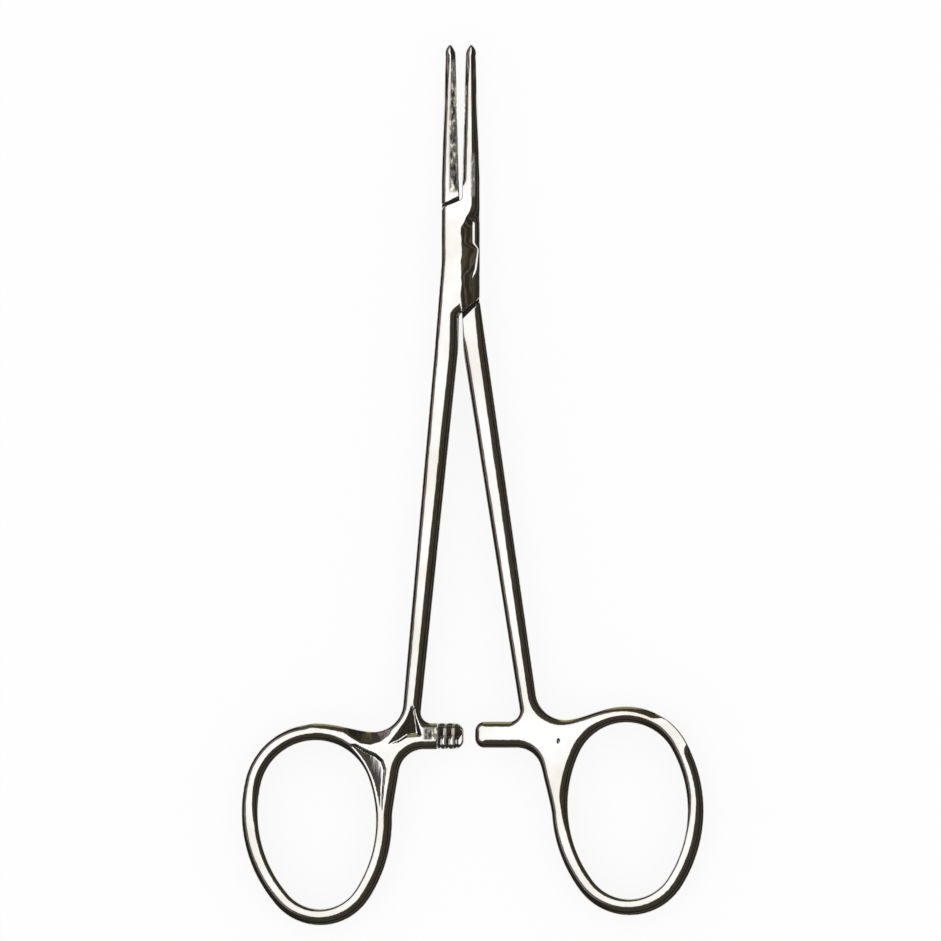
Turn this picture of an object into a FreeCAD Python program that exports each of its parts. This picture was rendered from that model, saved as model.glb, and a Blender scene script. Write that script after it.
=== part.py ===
import FreeCAD, Part
import math
import os
import re
import Sketcher

# Straight mosquito forceps with a box lock, lying flat: X across, Y towards the jaw tips and
# Z up from the surface that the forceps lie on. Sizes are in millimetres and degrees, and are
# measured from the pivot axis while the jaws stand a little open, which is joint value 0.
SIZES = {
    # Place of the pivot axis: the part's origin is the middle of its footprint.
    "pivot_across": -1.7,
    "pivot_along": 32.38,
    # Both halves.
    "thickness": 4.6,
    "rim_bevel": 0.6,
    "cheek_round": 0.8,
    "taper_start": 8.0,
    "tip_thickness": 2.05,
    # Jaws.
    "jaw_reach": 30.15,
    "jaw_tip_width": 1.5,
    "nose_length": 1.7,
    "nose_bulge": 2.6,
    "jaw_edge_round": 0.5,
    "jaw_root_rise": 10.8,
    "face_lean": 1.35,
    "serration_pitch": 0.85,
    "serration_depth": 0.15,
    "serration_start": 10.0,
    # Box lock.
    "box_half_width": 2.75,
    "box_waist": 0.85,
    "cheek_head_inner": 8.1,
    "cheek_head_outer": 6.9,
    "cheek_foot_inner": 8.4,
    "cheek_foot_outer": 5.9,
    "head_gap": 0.35,
    "foot_gap": 0.5,
    "crotch_gap": 0.48,
    "slot_height": 1.5,
    "slide_clearance": 0.03,
    "pin_radius": 0.85,
    "pin_clearance": 0.04,
    "tang_disc": 2.0,
    "tang_reach": 2.35,
    "tang_stop": 1.1,
    "wall_clearance": 0.06,
    "disc_clearance": 0.18,
    "disc_flank": 50.0,
    "tang_root": 1.0,
    # Shanks.
    "shank_head": 13.3,
    "shank_head_width": 3.4,
    "shank_foot_width": 2.65,
    "box_shank_lean": 5.46,
    "box_shank_offset": 0.77,
    "tang_shank_lean": 8.5,
    "tang_shank_offset": 0.06,
    # Ratchet bars.
    "bar_width": 3.8,
    "bar_corner": 1.35,
    "box_bar_end": 0.47,
    "box_bar_drop": 66.26,
    "tang_bar_end": 2.03,
    "tang_bar_drop": 66.05,
    "tooth_pitch": 1.15,
    "tooth_height": 0.45,
    "tooth_clearance": 0.06,
    "tooth_margin": 0.35,
    "tooth_inset": 0.3,
    # Finger rings: an oval of four arcs along the middle of the band.
    "band_width": 2.35,
    "ring_side_radius": 19.0,
    "box_ring_head_radius": 9.1,
    "box_ring_head_across": 20.6,
    "box_ring_head_drop": 76.7,
    "box_ring_foot_radius": 7.1,
    "box_ring_foot_across": 19.95,
    "box_ring_foot_drop": 86.75,
    "tang_ring_head_radius": 8.5,
    "tang_ring_head_across": 23.52,
    "tang_ring_head_drop": 73.56,
    "tang_ring_foot_radius": 7.63,
    "tang_ring_foot_across": 23.95,
    "tang_ring_foot_drop": 84.8,
    # Webs that join shank, bar and ring.
    "box_shoulder_drop": 67.5,
    "tang_shoulder_drop": 65.8,
    "box_flank_across": 8.1,
    "tang_flank_across": 10.6,
    "flank_depth": 13.5,
    "box_flank_slope": 2.7,
    "tang_flank_slope": 3.9,
    "armpit_round": 4.2,
    "crook_round": 1.5,
    "underbar_round": 3.5,
    "blend_round": 8.0,
}
TEETH = 3
CHEEK_CORNERS = [("-box_half_width", "cheek_head_outer"), ("box_half_width", "-cheek_foot_outer")]
NEAR = 1e-4

doc = FreeCAD.newDocument("forceps")
sheet = doc.addObject("Spreadsheet::Sheet", "Dims")


def fill_sheet():
    """Writes each driving size to a cell of the sheet, with its name as alias."""
    for row, (name, value) in enumerate(SIZES.items(), start=1):
        sheet.set(f"A{row}", name)
        sheet.set(f"B{row}", str(value))
        sheet.setAlias(f"B{row}", name)
    doc.recompute()


def bound(text):
    """Puts the sheet's name before each size that a formula names."""
    return re.sub(r"[a-z_]+", lambda word: "Dims." + word[0] if word[0] in SIZES else word[0], text)


def worth(owner, text):
    """The value of a formula at the sheet's present sizes."""
    value = owner.evalExpression(bound(text))
    return float(getattr(value, "Value", value))


def new_sketch(body, name, plane="XY_Plane", lift="0"):
    """A sketch on one of the body's own origin planes, lifted along the plane's normal."""
    sketch = body.newObject("Sketcher::SketchObject", name)
    support = next(item for item in body.Origin.OriginFeatures if item.Role == plane)
    sketch.AttachmentSupport = [(support, "")]
    sketch.MapMode = "FlatFace"
    sketch.setExpression("AttachmentOffset.Base.z", bound(lift))
    return sketch


def tie(sketch, kind, *place, size):
    """Adds one constraint whose value follows a formula."""
    index = sketch.addConstraint(Sketcher.Constraint(kind, *place, worth(sketch, size)))
    sketch.setExpression(f"Constraints[{index}]", bound(size))


def arc_between(start, end, radius):
    """A short arc from start to end that bulges to the left of the way for a positive radius."""
    chord = end - start
    half = chord.Length / 2
    side = FreeCAD.Vector(-chord.y, chord.x, 0).normalize()
    sagitta = abs(radius) - math.sqrt(radius * radius - half * half)
    middle = (start + end) / 2 + side * math.copysign(sagitta, radius)
    return Part.Arc(start, middle, end)


def draw_outline(sketch, corners):
    """Draws a closed outline; a corner is (x, y) or (x, y, radius of the arc that leads on)."""
    points = [FreeCAD.Vector(worth(sketch, c[0]), worth(sketch, c[1]), 0) for c in corners]
    first = sketch.GeometryCount
    for index, corner in enumerate(corners):
        start = points[index]
        end = points[(index + 1) % len(points)]
        if len(corner) == 2:
            sketch.addGeometry(Part.LineSegment(start, end), False)
            continue
        arc = arc_between(start, end, worth(sketch, corner[2]))
        sketch.addGeometry(Part.ArcOfCircle(*arc_frame(arc)), False)
    join_outline(sketch, first, points)
    for index, corner in enumerate(corners):
        point = end_near(sketch, first + index, points[index])
        tie(sketch, "DistanceX", first + index, point, size=corner[0])
        tie(sketch, "DistanceY", first + index, point, size=corner[1])
        if len(corner) == 3:
            tie(sketch, "Radius", first + index, size=f"abs({corner[2]})")


def arc_frame(arc):
    """The circle of an arc with its first and last angle, counter-clockwise."""
    edge = arc.toShape()
    circle = Part.Circle(edge.Curve.Center, FreeCAD.Vector(0, 0, 1), edge.Curve.Radius)
    ends = [circle.parameter(edge.firstVertex().Point), circle.parameter(edge.lastVertex().Point)]
    middle = circle.parameter(edge.valueAt((edge.FirstParameter + edge.LastParameter) / 2))
    turn = 2 * math.pi
    if (middle - ends[0]) % turn > (ends[1] - ends[0]) % turn:
        ends.reverse()
    return circle, ends[0], ends[0] + (ends[1] - ends[0]) % turn


def end_near(sketch, geometry, place):
    """Which end of a piece of geometry, 1 or 2, lies at a place."""
    return 1 if (sketch.getPoint(geometry, 1) - place).Length < NEAR else 2


def join_outline(sketch, first, points):
    """Joins each piece of an outline to the next one."""
    count = len(points)
    for index in range(count):
        following = (index + 1) % count
        place = points[following]
        one = end_near(sketch, first + index, place)
        other = end_near(sketch, first + following, place)
        sketch.addConstraint(
            Sketcher.Constraint("Coincident", first + index, one, first + following, other))


def draw_circle(sketch, radius):
    """Draws a circle about the pivot axis."""
    circle = Part.Circle(FreeCAD.Vector(), FreeCAD.Vector(0, 0, 1), worth(sketch, radius))
    index = sketch.addGeometry(circle, False)
    sketch.addConstraint(Sketcher.Constraint("Coincident", index, 3, -1, 1))
    tie(sketch, "Radius", index, size=radius)


def turning_arc(centre, radius, start, end):
    """An arc counter-clockwise about a centre, from one place to another."""
    circle = Part.Circle(centre, FreeCAD.Vector(0, 0, 1), radius)
    first = circle.parameter(start)
    sweep = (circle.parameter(end) - first) % (2 * math.pi)
    return Part.ArcOfCircle(circle, first, first + sweep)


def oval_arcs(head, head_radius, foot, foot_radius, side_radius):
    """Four arcs that form an oval: right side, head, left side and foot."""
    span = (head - foot).Length
    axis = (head - foot).normalize()
    across = FreeCAD.Vector(axis.y, -axis.x, 0)
    to_head = side_radius - head_radius
    to_foot = side_radius - foot_radius
    rise = (to_foot ** 2 - to_head ** 2 + span ** 2) / (2 * span)
    reach = math.sqrt(to_foot ** 2 - rise ** 2)
    right = foot + axis * rise - across * reach
    left = foot + axis * rise + across * reach

    def joint(end, radius, side_centre):
        return end + (end - side_centre).normalize() * radius

    foot_right = joint(foot, foot_radius, right)
    head_right = joint(head, head_radius, right)
    head_left = joint(head, head_radius, left)
    foot_left = joint(foot, foot_radius, left)
    return [turning_arc(right, side_radius, foot_right, head_right),
            turning_arc(head, head_radius, head_right, head_left),
            turning_arc(left, side_radius, head_left, foot_left),
            turning_arc(foot, foot_radius, foot_left, foot_right)]


def draw_oval(sketch, side, half, grow):
    """Draws a ring's oval, offset from the middle of the band, with its arcs tangent."""
    places = []
    for name in ("head", "foot"):
        across = worth(sketch, mirrored(side, f"{half}_ring_{name}_across"))
        drop = worth(sketch, f"{half}_ring_{name}_drop")
        places += [FreeCAD.Vector(across, -drop, 0), worth(sketch, f"{half}_ring_{name}_radius + {grow}")]
    first = sketch.GeometryCount
    arcs = oval_arcs(*places, worth(sketch, f"ring_side_radius + {grow}"))
    for arc in arcs:
        sketch.addGeometry(arc, False)
    for index in range(len(arcs)):
        following = first + (index + 1) % len(arcs)
        sketch.addConstraint(Sketcher.Constraint("Tangent", first + index, 2, following, 1))
    for index, name in enumerate(("side", "head", "side", "foot"), start=first):
        if name == "side":
            tie(sketch, "Radius", index, size=f"ring_side_radius + {grow}")
            continue
        tie(sketch, "DistanceX", index, 3, size=mirrored(side, f"{half}_ring_{name}_across"))
        tie(sketch, "DistanceY", index, 3, size=f"-{half}_ring_{name}_drop")
        tie(sketch, "Radius", index, size=f"{half}_ring_{name}_radius + {grow}")


def pad(body, name, sketch, length):
    """Pads a sketch by the same amount to both sides of its plane."""
    feature = body.newObject("PartDesign::Pad", name)
    feature.Profile = sketch
    feature.SideType = "Symmetric"
    feature.setExpression("Length", bound(length))
    doc.recompute()
    return feature


def pocket(body, name, sketch, length):
    """Cuts a sketch to both sides of its plane, and checks that the cut takes metal away."""
    before = body.Tip.Shape.Volume
    feature = body.newObject("PartDesign::Pocket", name)
    feature.Profile = sketch
    feature.SideType = "Symmetric"
    feature.setExpression("Length", bound(length))
    doc.recompute()
    assert feature.Shape.Volume < before - NEAR, f"{name} cuts nothing"
    return feature


def uprights(shape):
    """The place in plan and the name of each upright edge."""
    found = []
    for number, edge in enumerate(shape.Edges, start=1):
        ends = [vertex.Point for vertex in edge.Vertexes]
        if len(ends) == 2 and (ends[0] - ends[1]).cross(FreeCAD.Vector(0, 0, 1)).Length < NEAR:
            found.append((ends[0].x, ends[0].y, f"Edge{number}"))
    return found


def upright_edges(shape, places):
    """The upright edge nearest to each place in plan, by name."""
    known = uprights(shape)
    return [min(known, key=lambda edge: math.dist(edge[:2], place))[2] for place in places]


def fillet(body, name, edges, radius):
    """Rounds the named edges of the body's present shape."""
    feature = body.newObject("PartDesign::Fillet", name)
    feature.Base = (feature.BaseFeature, edges)
    feature.setExpression("Radius", bound(radius))
    doc.recompute()
    return feature


def mirrored(side, text):
    """A distance across, towards the side that a half's shank lies on."""
    return f"({text})" if side > 0 else f"-({text})"


def shank_line(side, half, drop, edge):
    """How far across a shank's edge lies; edge is 1 on the outer side and -1 on the inner."""
    width = "shank_foot_width" if drop != "shank_head" else "shank_head_width"
    sign = "+" if edge > 0 else "-"
    lean = f"{half}_shank_offset + ({drop})*tan({half}_shank_lean*1deg)"
    return mirrored(side, f"{lean} {sign} {width}/2")


def arm_corners(side, half):
    """Corners of the shank and its bar, from the shank's outer head round to its inner head."""
    shoulder = f"{half}_shoulder_drop"
    bar = f"{half}_bar_drop"
    flank = f"{half}_flank_across"
    under = f"{bar} + bar_width"
    ring = f"{half}_ring_head_across"
    bar_end = f"{half}_bar_end"
    return [
        (shank_line(side, half, "shank_head", 1), "-shank_head"),
        (shank_line(side, half, shoulder, 1), f"-{shoulder}"),
        (mirrored(side, ring), f"-{shoulder}"),
        (mirrored(side, ring), f"-({under} + flank_depth)"),
        (mirrored(side, f"{flank} + {half}_flank_slope"), f"-({under} + flank_depth)"),
        (mirrored(side, flank), f"-({under})"),
        (bar_end, f"-({under})"),
        (bar_end, f"-{bar}"),
        (shank_line(side, half, bar, -1), f"-{bar}"),
        (shank_line(side, half, "shank_head", -1), "-shank_head"),
    ]


def add_blank(body, side, half):
    """The finger ring's disc, and the shank with the ratchet bar, at their full thickness."""
    oval = new_sketch(body, "ring_outline", lift="thickness/2")
    draw_oval(oval, side, half, "band_width/2")
    pad(body, "ring_blank", oval, "thickness")
    arm = new_sketch(body, "arm_outline", lift="thickness/2")
    draw_outline(arm, arm_corners(side, half))
    pad(body, "arm", arm, "thickness")


def finish_handle(body, side, half):
    """Rounds the handle's corners in plan, opens the finger ring and bevels all rims."""
    corners = [tuple(worth(body, text) for text in corner) for corner in arm_corners(side, half)]
    shape = body.Tip.Shape
    blends = [oval_crossing(shape, corners[2], corners[1]), oval_crossing(shape, corners[4], corners[5])]
    rounds = [("armpit", [corners[1]], "armpit_round"), ("crook", [corners[8]], "crook_round"),
              ("underbar", [corners[5]], "underbar_round"),
              ("bar_corners", corners[6:8], "bar_corner"), ("blends", blends, "blend_round")]
    for name, places, radius in rounds:
        fillet(body, name, upright_edges(body.Tip.Shape, places), radius)
    opening = new_sketch(body, "opening_outline", lift="thickness/2")
    draw_oval(opening, side, half, "-band_width/2")
    pocket(body, "opening", opening, "thickness")
    bevel_rims(body)


def oval_crossing(shape, start, end):
    """The place in plan, between two others, where a straight side leaves the ring."""
    line = Part.LineSegment(FreeCAD.Vector(*start, 0), FreeCAD.Vector(*end, 0)).toShape()
    for x, y, _ in uprights(shape):
        on_line = line.distToShape(Part.Vertex(x, y, 0))[0] < NEAR
        if on_line and min(math.dist((x, y), start), math.dist((x, y), end)) > NEAR:
            return x, y
    raise ValueError("the straight side does not leave the ring")


def bevel_rims(body):
    """Bevels the rims of the upper and lower faces, up to the jaw's root."""
    names = []
    thickness = worth(body, "thickness")
    root = worth(body, "jaw_root_rise")
    for number, edge in enumerate(body.Tip.Shape.Edges, start=1):
        box = edge.BoundBox
        on_face = min(abs(box.ZMin), abs(box.ZMin - thickness)) < NEAR
        if box.ZLength < NEAR and on_face and box.YMax < root + NEAR:
            names.append(f"Edge{number}")
    feature = body.newObject("PartDesign::Chamfer", "rims")
    feature.Base = (feature.BaseFeature, names)
    feature.setExpression("Size", bound("rim_bevel"))
    doc.recompute()


def repeat(body, name, original, direction, pitch, count):
    """Repeats a feature along a direction of its sketch at an even pitch."""
    pattern = body.newObject("PartDesign::LinearPattern", name)
    pattern.Originals = [original]
    pattern.Direction = direction
    pattern.Mode = "Spacing"
    pattern.setExpression("Offset", bound(pitch))
    pattern.Occurrences = count
    body.Tip = pattern
    doc.recompute()
    return pattern


def add_ratchet(body, side, half):
    """Halves the bar's thickness and cuts its teeth, which face the other half's bar."""
    up = "-" if side < 0 else "+"
    level = f"thickness/2 {up} tooth_clearance/2"
    valley = f"{level} {up} tooth_height"
    away = "+" if side < 0 else "-"
    end = f"{half}_bar_end"
    root = f"{end} {'-' if side < 0 else '+'} (tooth_margin + {TEETH}*tooth_pitch)"
    top = f"-({half}_bar_drop - bar_width)"
    foot = f"-({half}_bar_drop + 2*bar_width)"
    beyond = f"{end} {away} bar_width"
    step = new_sketch(body, "bar_step_outline", lift=f"{valley} {away} thickness/2")
    draw_outline(step, [(root, top), (beyond, top), (beyond, foot), (root, foot)])
    pocket(body, "bar_step", step, "thickness")
    tooth = new_sketch(body, "tooth_outline", "XZ_Plane",
                       lift=f"{half}_bar_drop + bar_width/2")
    draw_outline(tooth, [(root, valley), (root, level),
                         (f"{root} {away} tooth_pitch", valley)])
    first = pad(body, "tooth", tooth, "bar_width - 2*tooth_inset")
    forward = (tooth, ["H_Axis"])
    pattern = repeat(body, "teeth", first, forward, "tooth_pitch", TEETH)
    if side > 0:
        pattern.Reversed = True
        doc.recompute()


def jaw_corners(side):
    """A jaw's outline from its gripping face over the pointed nose to the box's side."""
    face = "tan(face_lean*1deg)"
    start = "(jaw_reach - nose_length)"
    return [
        (mirrored(side, f"{start}*{face}"), start, mirrored(side, "nose_bulge")),
        (mirrored(side, f"jaw_reach*{face} + jaw_tip_width/2"), "jaw_reach",
         mirrored(side, "nose_bulge")),
        (mirrored(side, f"{start}*{face} + jaw_tip_width"), start),
        (mirrored(side, "box_half_width"), "jaw_root_rise"),
    ]


def add_taper(body):
    """Thins the box and the jaws towards their tips, alike above and below."""
    sketch = new_sketch(body, "taper_outline", "YZ_Plane")
    beyond = "jaw_reach + thickness"
    slope = "(thickness - tip_thickness)/2/(jaw_reach + taper_start)"
    drop = f"{slope}*({beyond} + taper_start)"
    draw_outline(sketch, [("-taper_start", "thickness"), (beyond, "thickness"),
                          (beyond, f"thickness - {drop}")])
    draw_outline(sketch, [("-taper_start", "0"), (beyond, drop), (beyond, "0")])
    pocket(body, "taper", sketch, "6*box_half_width")


def add_serrations(body, side):
    """Cuts the cross grooves of the gripping face, evenly spaced towards the tip."""
    sketch = new_sketch(body, "groove_outline", lift="thickness/2")
    face = "tan(face_lean*1deg)"
    first = "serration_start"
    last = "(serration_start + serration_pitch)"
    draw_outline(sketch, [
        (mirrored(side, f"{first}*{face} - serration_depth"), first),
        (mirrored(side, f"({first} + serration_pitch/2)*{face} + serration_depth"),
         f"{first} + serration_pitch/2"),
        (mirrored(side, f"{last}*{face} - serration_depth"), last),
    ])
    along = (worth(sketch, mirrored(side, f"jaw_reach*{face}")), worth(sketch, "jaw_reach"))
    guide = Part.LineSegment(FreeCAD.Vector(), FreeCAD.Vector(*along, 0))
    index = sketch.addGeometry(guide, True)
    sketch.addConstraint(Sketcher.Constraint("Coincident", index, 1, -1, 1))
    tie(sketch, "DistanceX", index, 2, size=mirrored(side, f"jaw_reach*{face}"))
    tie(sketch, "DistanceY", index, 2, size="jaw_reach")
    groove = pocket(body, "groove", sketch, "thickness")
    room = worth(sketch, "jaw_reach - nose_length - serration_start")
    count = int(room / worth(sketch, "serration_pitch"))
    repeat(body, "grooves", groove, (sketch, ["Axis0"]), "serration_pitch", count)


def round_jaw(body, side):
    """Rounds the jaw's edges, and leaves those of its gripping face sharp."""
    names = []
    root = worth(body, "jaw_root_rise")
    lean = worth(body, "tan(face_lean*1deg)")
    for number, edge in enumerate(body.Tip.Shape.Edges, start=1):
        box = edge.BoundBox
        gaps = [vertex.Point.x * side - vertex.Point.y * lean for vertex in edge.Vertexes]
        upright = box.XLength < NEAR and box.YLength < NEAR
        if box.YMin > root - NEAR and not upright and min(gaps) > NEAR:
            names.append(f"Edge{number}")
    fillet(body, "jaw_rounds", names, "jaw_edge_round")


def finish_body(body):
    """Moves the body from the pivot axis to its place in the part's frame."""
    body.setExpression("Placement.Base.x", bound("pivot_across"))
    body.setExpression("Placement.Base.y", bound("pivot_along"))
    doc.recompute()


def make_box_half():
    """The half with the slotted box: right jaw, both cheeks, left shank and left ring."""
    body = doc.addObject("PartDesign::Body", "box_half")
    add_blank(body, -1, "box")
    block = new_sketch(body, "block_outline", lift="thickness/2")
    draw_outline(block, jaw_corners(1) + [
        ("box_half_width", "-cheek_foot_outer"),
        ("-crotch_gap/2", "-cheek_foot_inner"),
        (shank_line(-1, "box", "shank_head", -1), "-shank_head"),
        (shank_line(-1, "box", "shank_head", 1), "-shank_head"),
        ("-box_half_width", "-box_waist"),
        ("-box_half_width", "cheek_head_outer"),
        ("cheek_head_inner*tan(face_lean*1deg)", "cheek_head_inner"),
    ])
    pad(body, "block", block, "thickness")
    cheeks = [(worth(body, x), worth(body, y)) for x, y in CHEEK_CORNERS]
    fillet(body, "cheek_rounds", upright_edges(body.Tip.Shape, cheeks), "cheek_round")
    finish_handle(body, -1, "box")
    add_taper(body)
    round_jaw(body, 1)
    add_serrations(body, 1)
    add_slot(body)
    add_hole(body, "pin_radius")
    add_ratchet(body, -1, "box")
    finish_body(body)
    return body


def add_slot(body):
    """Cuts the slot that the tang turns in, closed only at the jaw's and the shank's roots."""
    wall = "(tang_disc + disc_clearance)"
    open_side = "2*box_half_width"
    head = "(cheek_head_inner + tang_disc)"
    foot = "(cheek_foot_inner + tang_disc)"
    corners = [
        (f"wall_clearance + {head}*tan(face_lean*1deg)", head),
        ("wall_clearance", wall),
        (f"{wall}*cos(disc_flank*1deg)", f"{wall}*sin(disc_flank*1deg)"),
        (open_side, f"{wall}*sin(disc_flank*1deg)"),
        (open_side, f"-{foot}"),
    ]
    opposite = [(f"-({x})", f"-({y})") for x, y in corners]
    opposite[0] = (f"-(wall_clearance + {foot}*tan(face_lean*1deg))", f"-{foot}")
    opposite[4] = (f"-({open_side})", head)
    sketch = new_sketch(body, "slot_outline", lift="thickness/2")
    draw_outline(sketch, corners + opposite)
    pocket(body, "slot", sketch, "slot_height")


def add_hole(body, radius):
    """Bores the pivot hole through the body."""
    sketch = new_sketch(body, "hole_outline")
    draw_circle(sketch, radius)
    pocket(body, "pivot_hole", sketch, "3*thickness")


def make_tang_half():
    """The half with the thin tang: left jaw, tang through the box, right shank and right ring."""
    body = doc.addObject("PartDesign::Body", "tang_half")
    add_blank(body, 1, "tang")
    root = new_sketch(body, "root_outline", lift="thickness/2")
    draw_outline(root, [
        ("box_half_width", "-(cheek_foot_outer + foot_gap)"),
        ("crotch_gap/2", "-(cheek_foot_inner + foot_gap)"),
        (shank_line(1, "tang", "shank_head", -1), "-shank_head"),
        (shank_line(1, "tang", "shank_head", 1), "-shank_head"),
    ])
    pad(body, "shank_root", root, "thickness")
    finish_handle(body, 1, "tang")
    add_tang(body)
    jaw = new_sketch(body, "jaw_outline", lift="thickness/2")
    draw_outline(jaw, jaw_corners(-1) + [
        ("-box_half_width", "cheek_head_outer + head_gap"),
        ("-(cheek_head_inner + head_gap)*tan(face_lean*1deg)", "cheek_head_inner + head_gap"),
    ])
    pad(body, "jaw", jaw, "thickness")
    add_taper(body)
    round_jaw(body, -1)
    add_hole(body, "pin_radius + pin_clearance")
    add_serrations(body, -1)
    add_ratchet(body, 1, "tang")
    finish_body(body)
    return body


def add_tang(body):
    """The thin tang that runs through the box, round at the pivot and stepped at both ends."""
    tang = new_sketch(body, "tang_outline", lift="thickness/2")
    head = "cheek_head_inner + tang_root"
    foot = "cheek_foot_inner + tang_root"
    draw_outline(tang, [
        (f"-({head})*tan(face_lean*1deg)", head),
        ("-tang_disc*sin(face_lean*1deg)", "tang_disc*cos(face_lean*1deg)", "tang_disc"),
        ("tang_disc", "0"),
        ("tang_reach", "-tang_stop"),
        ("tang_reach", "-(cheek_foot_outer + foot_gap + tang_root)"),
        (f"({foot})*tan(face_lean*1deg)", f"-({foot})"),
        ("tang_disc*sin(face_lean*1deg)", "-tang_disc*cos(face_lean*1deg)", "tang_disc"),
        ("-tang_disc", "0"),
        ("-tang_reach", "tang_stop"),
        ("-tang_reach", "cheek_head_outer + head_gap + tang_root"),
    ])
    pad(body, "tang", tang, "slot_height - 2*slide_clearance")


def make_pin():
    """The pivot pin, polished flush with both cheeks."""
    body = doc.addObject("PartDesign::Body", "pivot_pin")
    sketch = new_sketch(body, "pin_outline", lift="thickness/2")
    draw_circle(sketch, "pin_radius")
    pad(body, "pin", sketch, "thickness")
    add_taper(body)
    finish_body(body)
    return body


def main():
    """Builds the three pieces, checks them and writes each to its file."""
    fill_sheet()
    bodies = [make_box_half(), make_tang_half(), make_pin()]
    doc.recompute()
    for item in doc.Objects:
        assert not {"Invalid", "Error"} & set(item.State), f"{item.Name} failed"
    os.makedirs("parts", exist_ok=True)
    for body in bodies:
        shape = body.Shape
        assert not shape.isNull() and shape.isValid(), f"{body.Label} has no valid shape"
        print(body.Label, len(shape.Solids), shape.Volume, shape.BoundBox)
        shape.exportStep(f"parts/{body.Label}.step")


main()
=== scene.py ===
"""Polished steel mosquito forceps, lying half open on a pale table.

Every length of the object is in millimetres from the pivot axis, X across, Y towards the jaw
tips and Z up from the table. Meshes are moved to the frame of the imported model, in metres.
"""

import logging
import math
from collections.abc import Callable
from dataclasses import dataclass
from enum import Enum

import bpy
import numpy as np
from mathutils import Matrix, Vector

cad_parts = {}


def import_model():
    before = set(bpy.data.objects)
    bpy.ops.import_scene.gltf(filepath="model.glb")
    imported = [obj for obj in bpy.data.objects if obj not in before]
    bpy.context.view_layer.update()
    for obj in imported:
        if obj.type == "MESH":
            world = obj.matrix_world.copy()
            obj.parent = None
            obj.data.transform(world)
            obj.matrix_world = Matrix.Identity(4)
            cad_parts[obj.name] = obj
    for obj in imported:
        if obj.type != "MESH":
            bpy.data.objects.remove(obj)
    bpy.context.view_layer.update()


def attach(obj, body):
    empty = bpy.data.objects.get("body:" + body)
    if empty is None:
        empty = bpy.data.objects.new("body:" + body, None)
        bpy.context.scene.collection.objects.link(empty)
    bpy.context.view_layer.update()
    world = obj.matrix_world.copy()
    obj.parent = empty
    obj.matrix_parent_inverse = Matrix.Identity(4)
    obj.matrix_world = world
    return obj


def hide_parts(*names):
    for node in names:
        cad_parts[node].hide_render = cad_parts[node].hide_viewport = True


LOG = logging.getLogger("forceps")
MILLIMETRE = 0.001
Point = tuple[float, float]
Corner = tuple[float, float, float]
Grading = tuple[tuple[float, float], ...]
Stop = tuple[float, float, float, float]
Span = tuple[float, float, float, float]
Colour = tuple[float, float, float, float]
Mark = Callable[[np.ndarray], np.ndarray]
Socket = bpy.types.NodeSocket
Value = Socket | float | tuple[float, ...]


class Side(Enum):
    """Which side of the forceps a half's handle lies on; the value is its sign along X."""

    LEFT = -1
    RIGHT = 1


@dataclass(frozen=True)
class Layout:
    """Sizes that both halves share.

    Attributes:
        pivot_across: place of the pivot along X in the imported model.
        pivot_along: its place along Y.
        thickness: the forceps' whole thickness.
        taper_start: how far below the pivot the thickness starts to fall towards the tips.
        tip_thickness: thickness at the tips.
        jaw_reach: from the pivot to the tips.
        face_lean: degrees between a gripping face and the middle line.
    """

    pivot_across: float = -1.7
    pivot_along: float = 32.38
    thickness: float = 4.6
    taper_start: float = 8.0
    tip_thickness: float = 2.05
    jaw_reach: float = 30.15
    face_lean: float = 1.35

    @property
    def middle(self) -> float:
        """Height of the middle plane over the table."""
        return self.thickness / 2

    def face_across(self, along: float) -> float:
        """How far a jaw's gripping face lies from the middle line."""
        return along * math.tan(math.radians(self.face_lean))

    def half_height(self, along: np.ndarray) -> np.ndarray:
        """Half of the thickness, which tapers from the box to the tips.

        Args:
            along: distance from the pivot towards the tips.

        Returns:
            The distance from the middle plane to the upper face.
        """
        span = self.jaw_reach + self.taper_start
        slope = (self.thickness - self.tip_thickness) / 2 / span
        return self.middle - slope * np.clip(along + self.taper_start, 0.0, None)


LAYOUT = Layout()

# Stretches of heights: one coarse step at the slot's floor and one at its roof, fine ones elsewhere
UPWARD: Grading = ((-0.4, 0.168), (1.45, 0.28), (1.73, 0.142), (2.87, 0.28), (3.15, 0.14), (5.0, 0.14))


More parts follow.
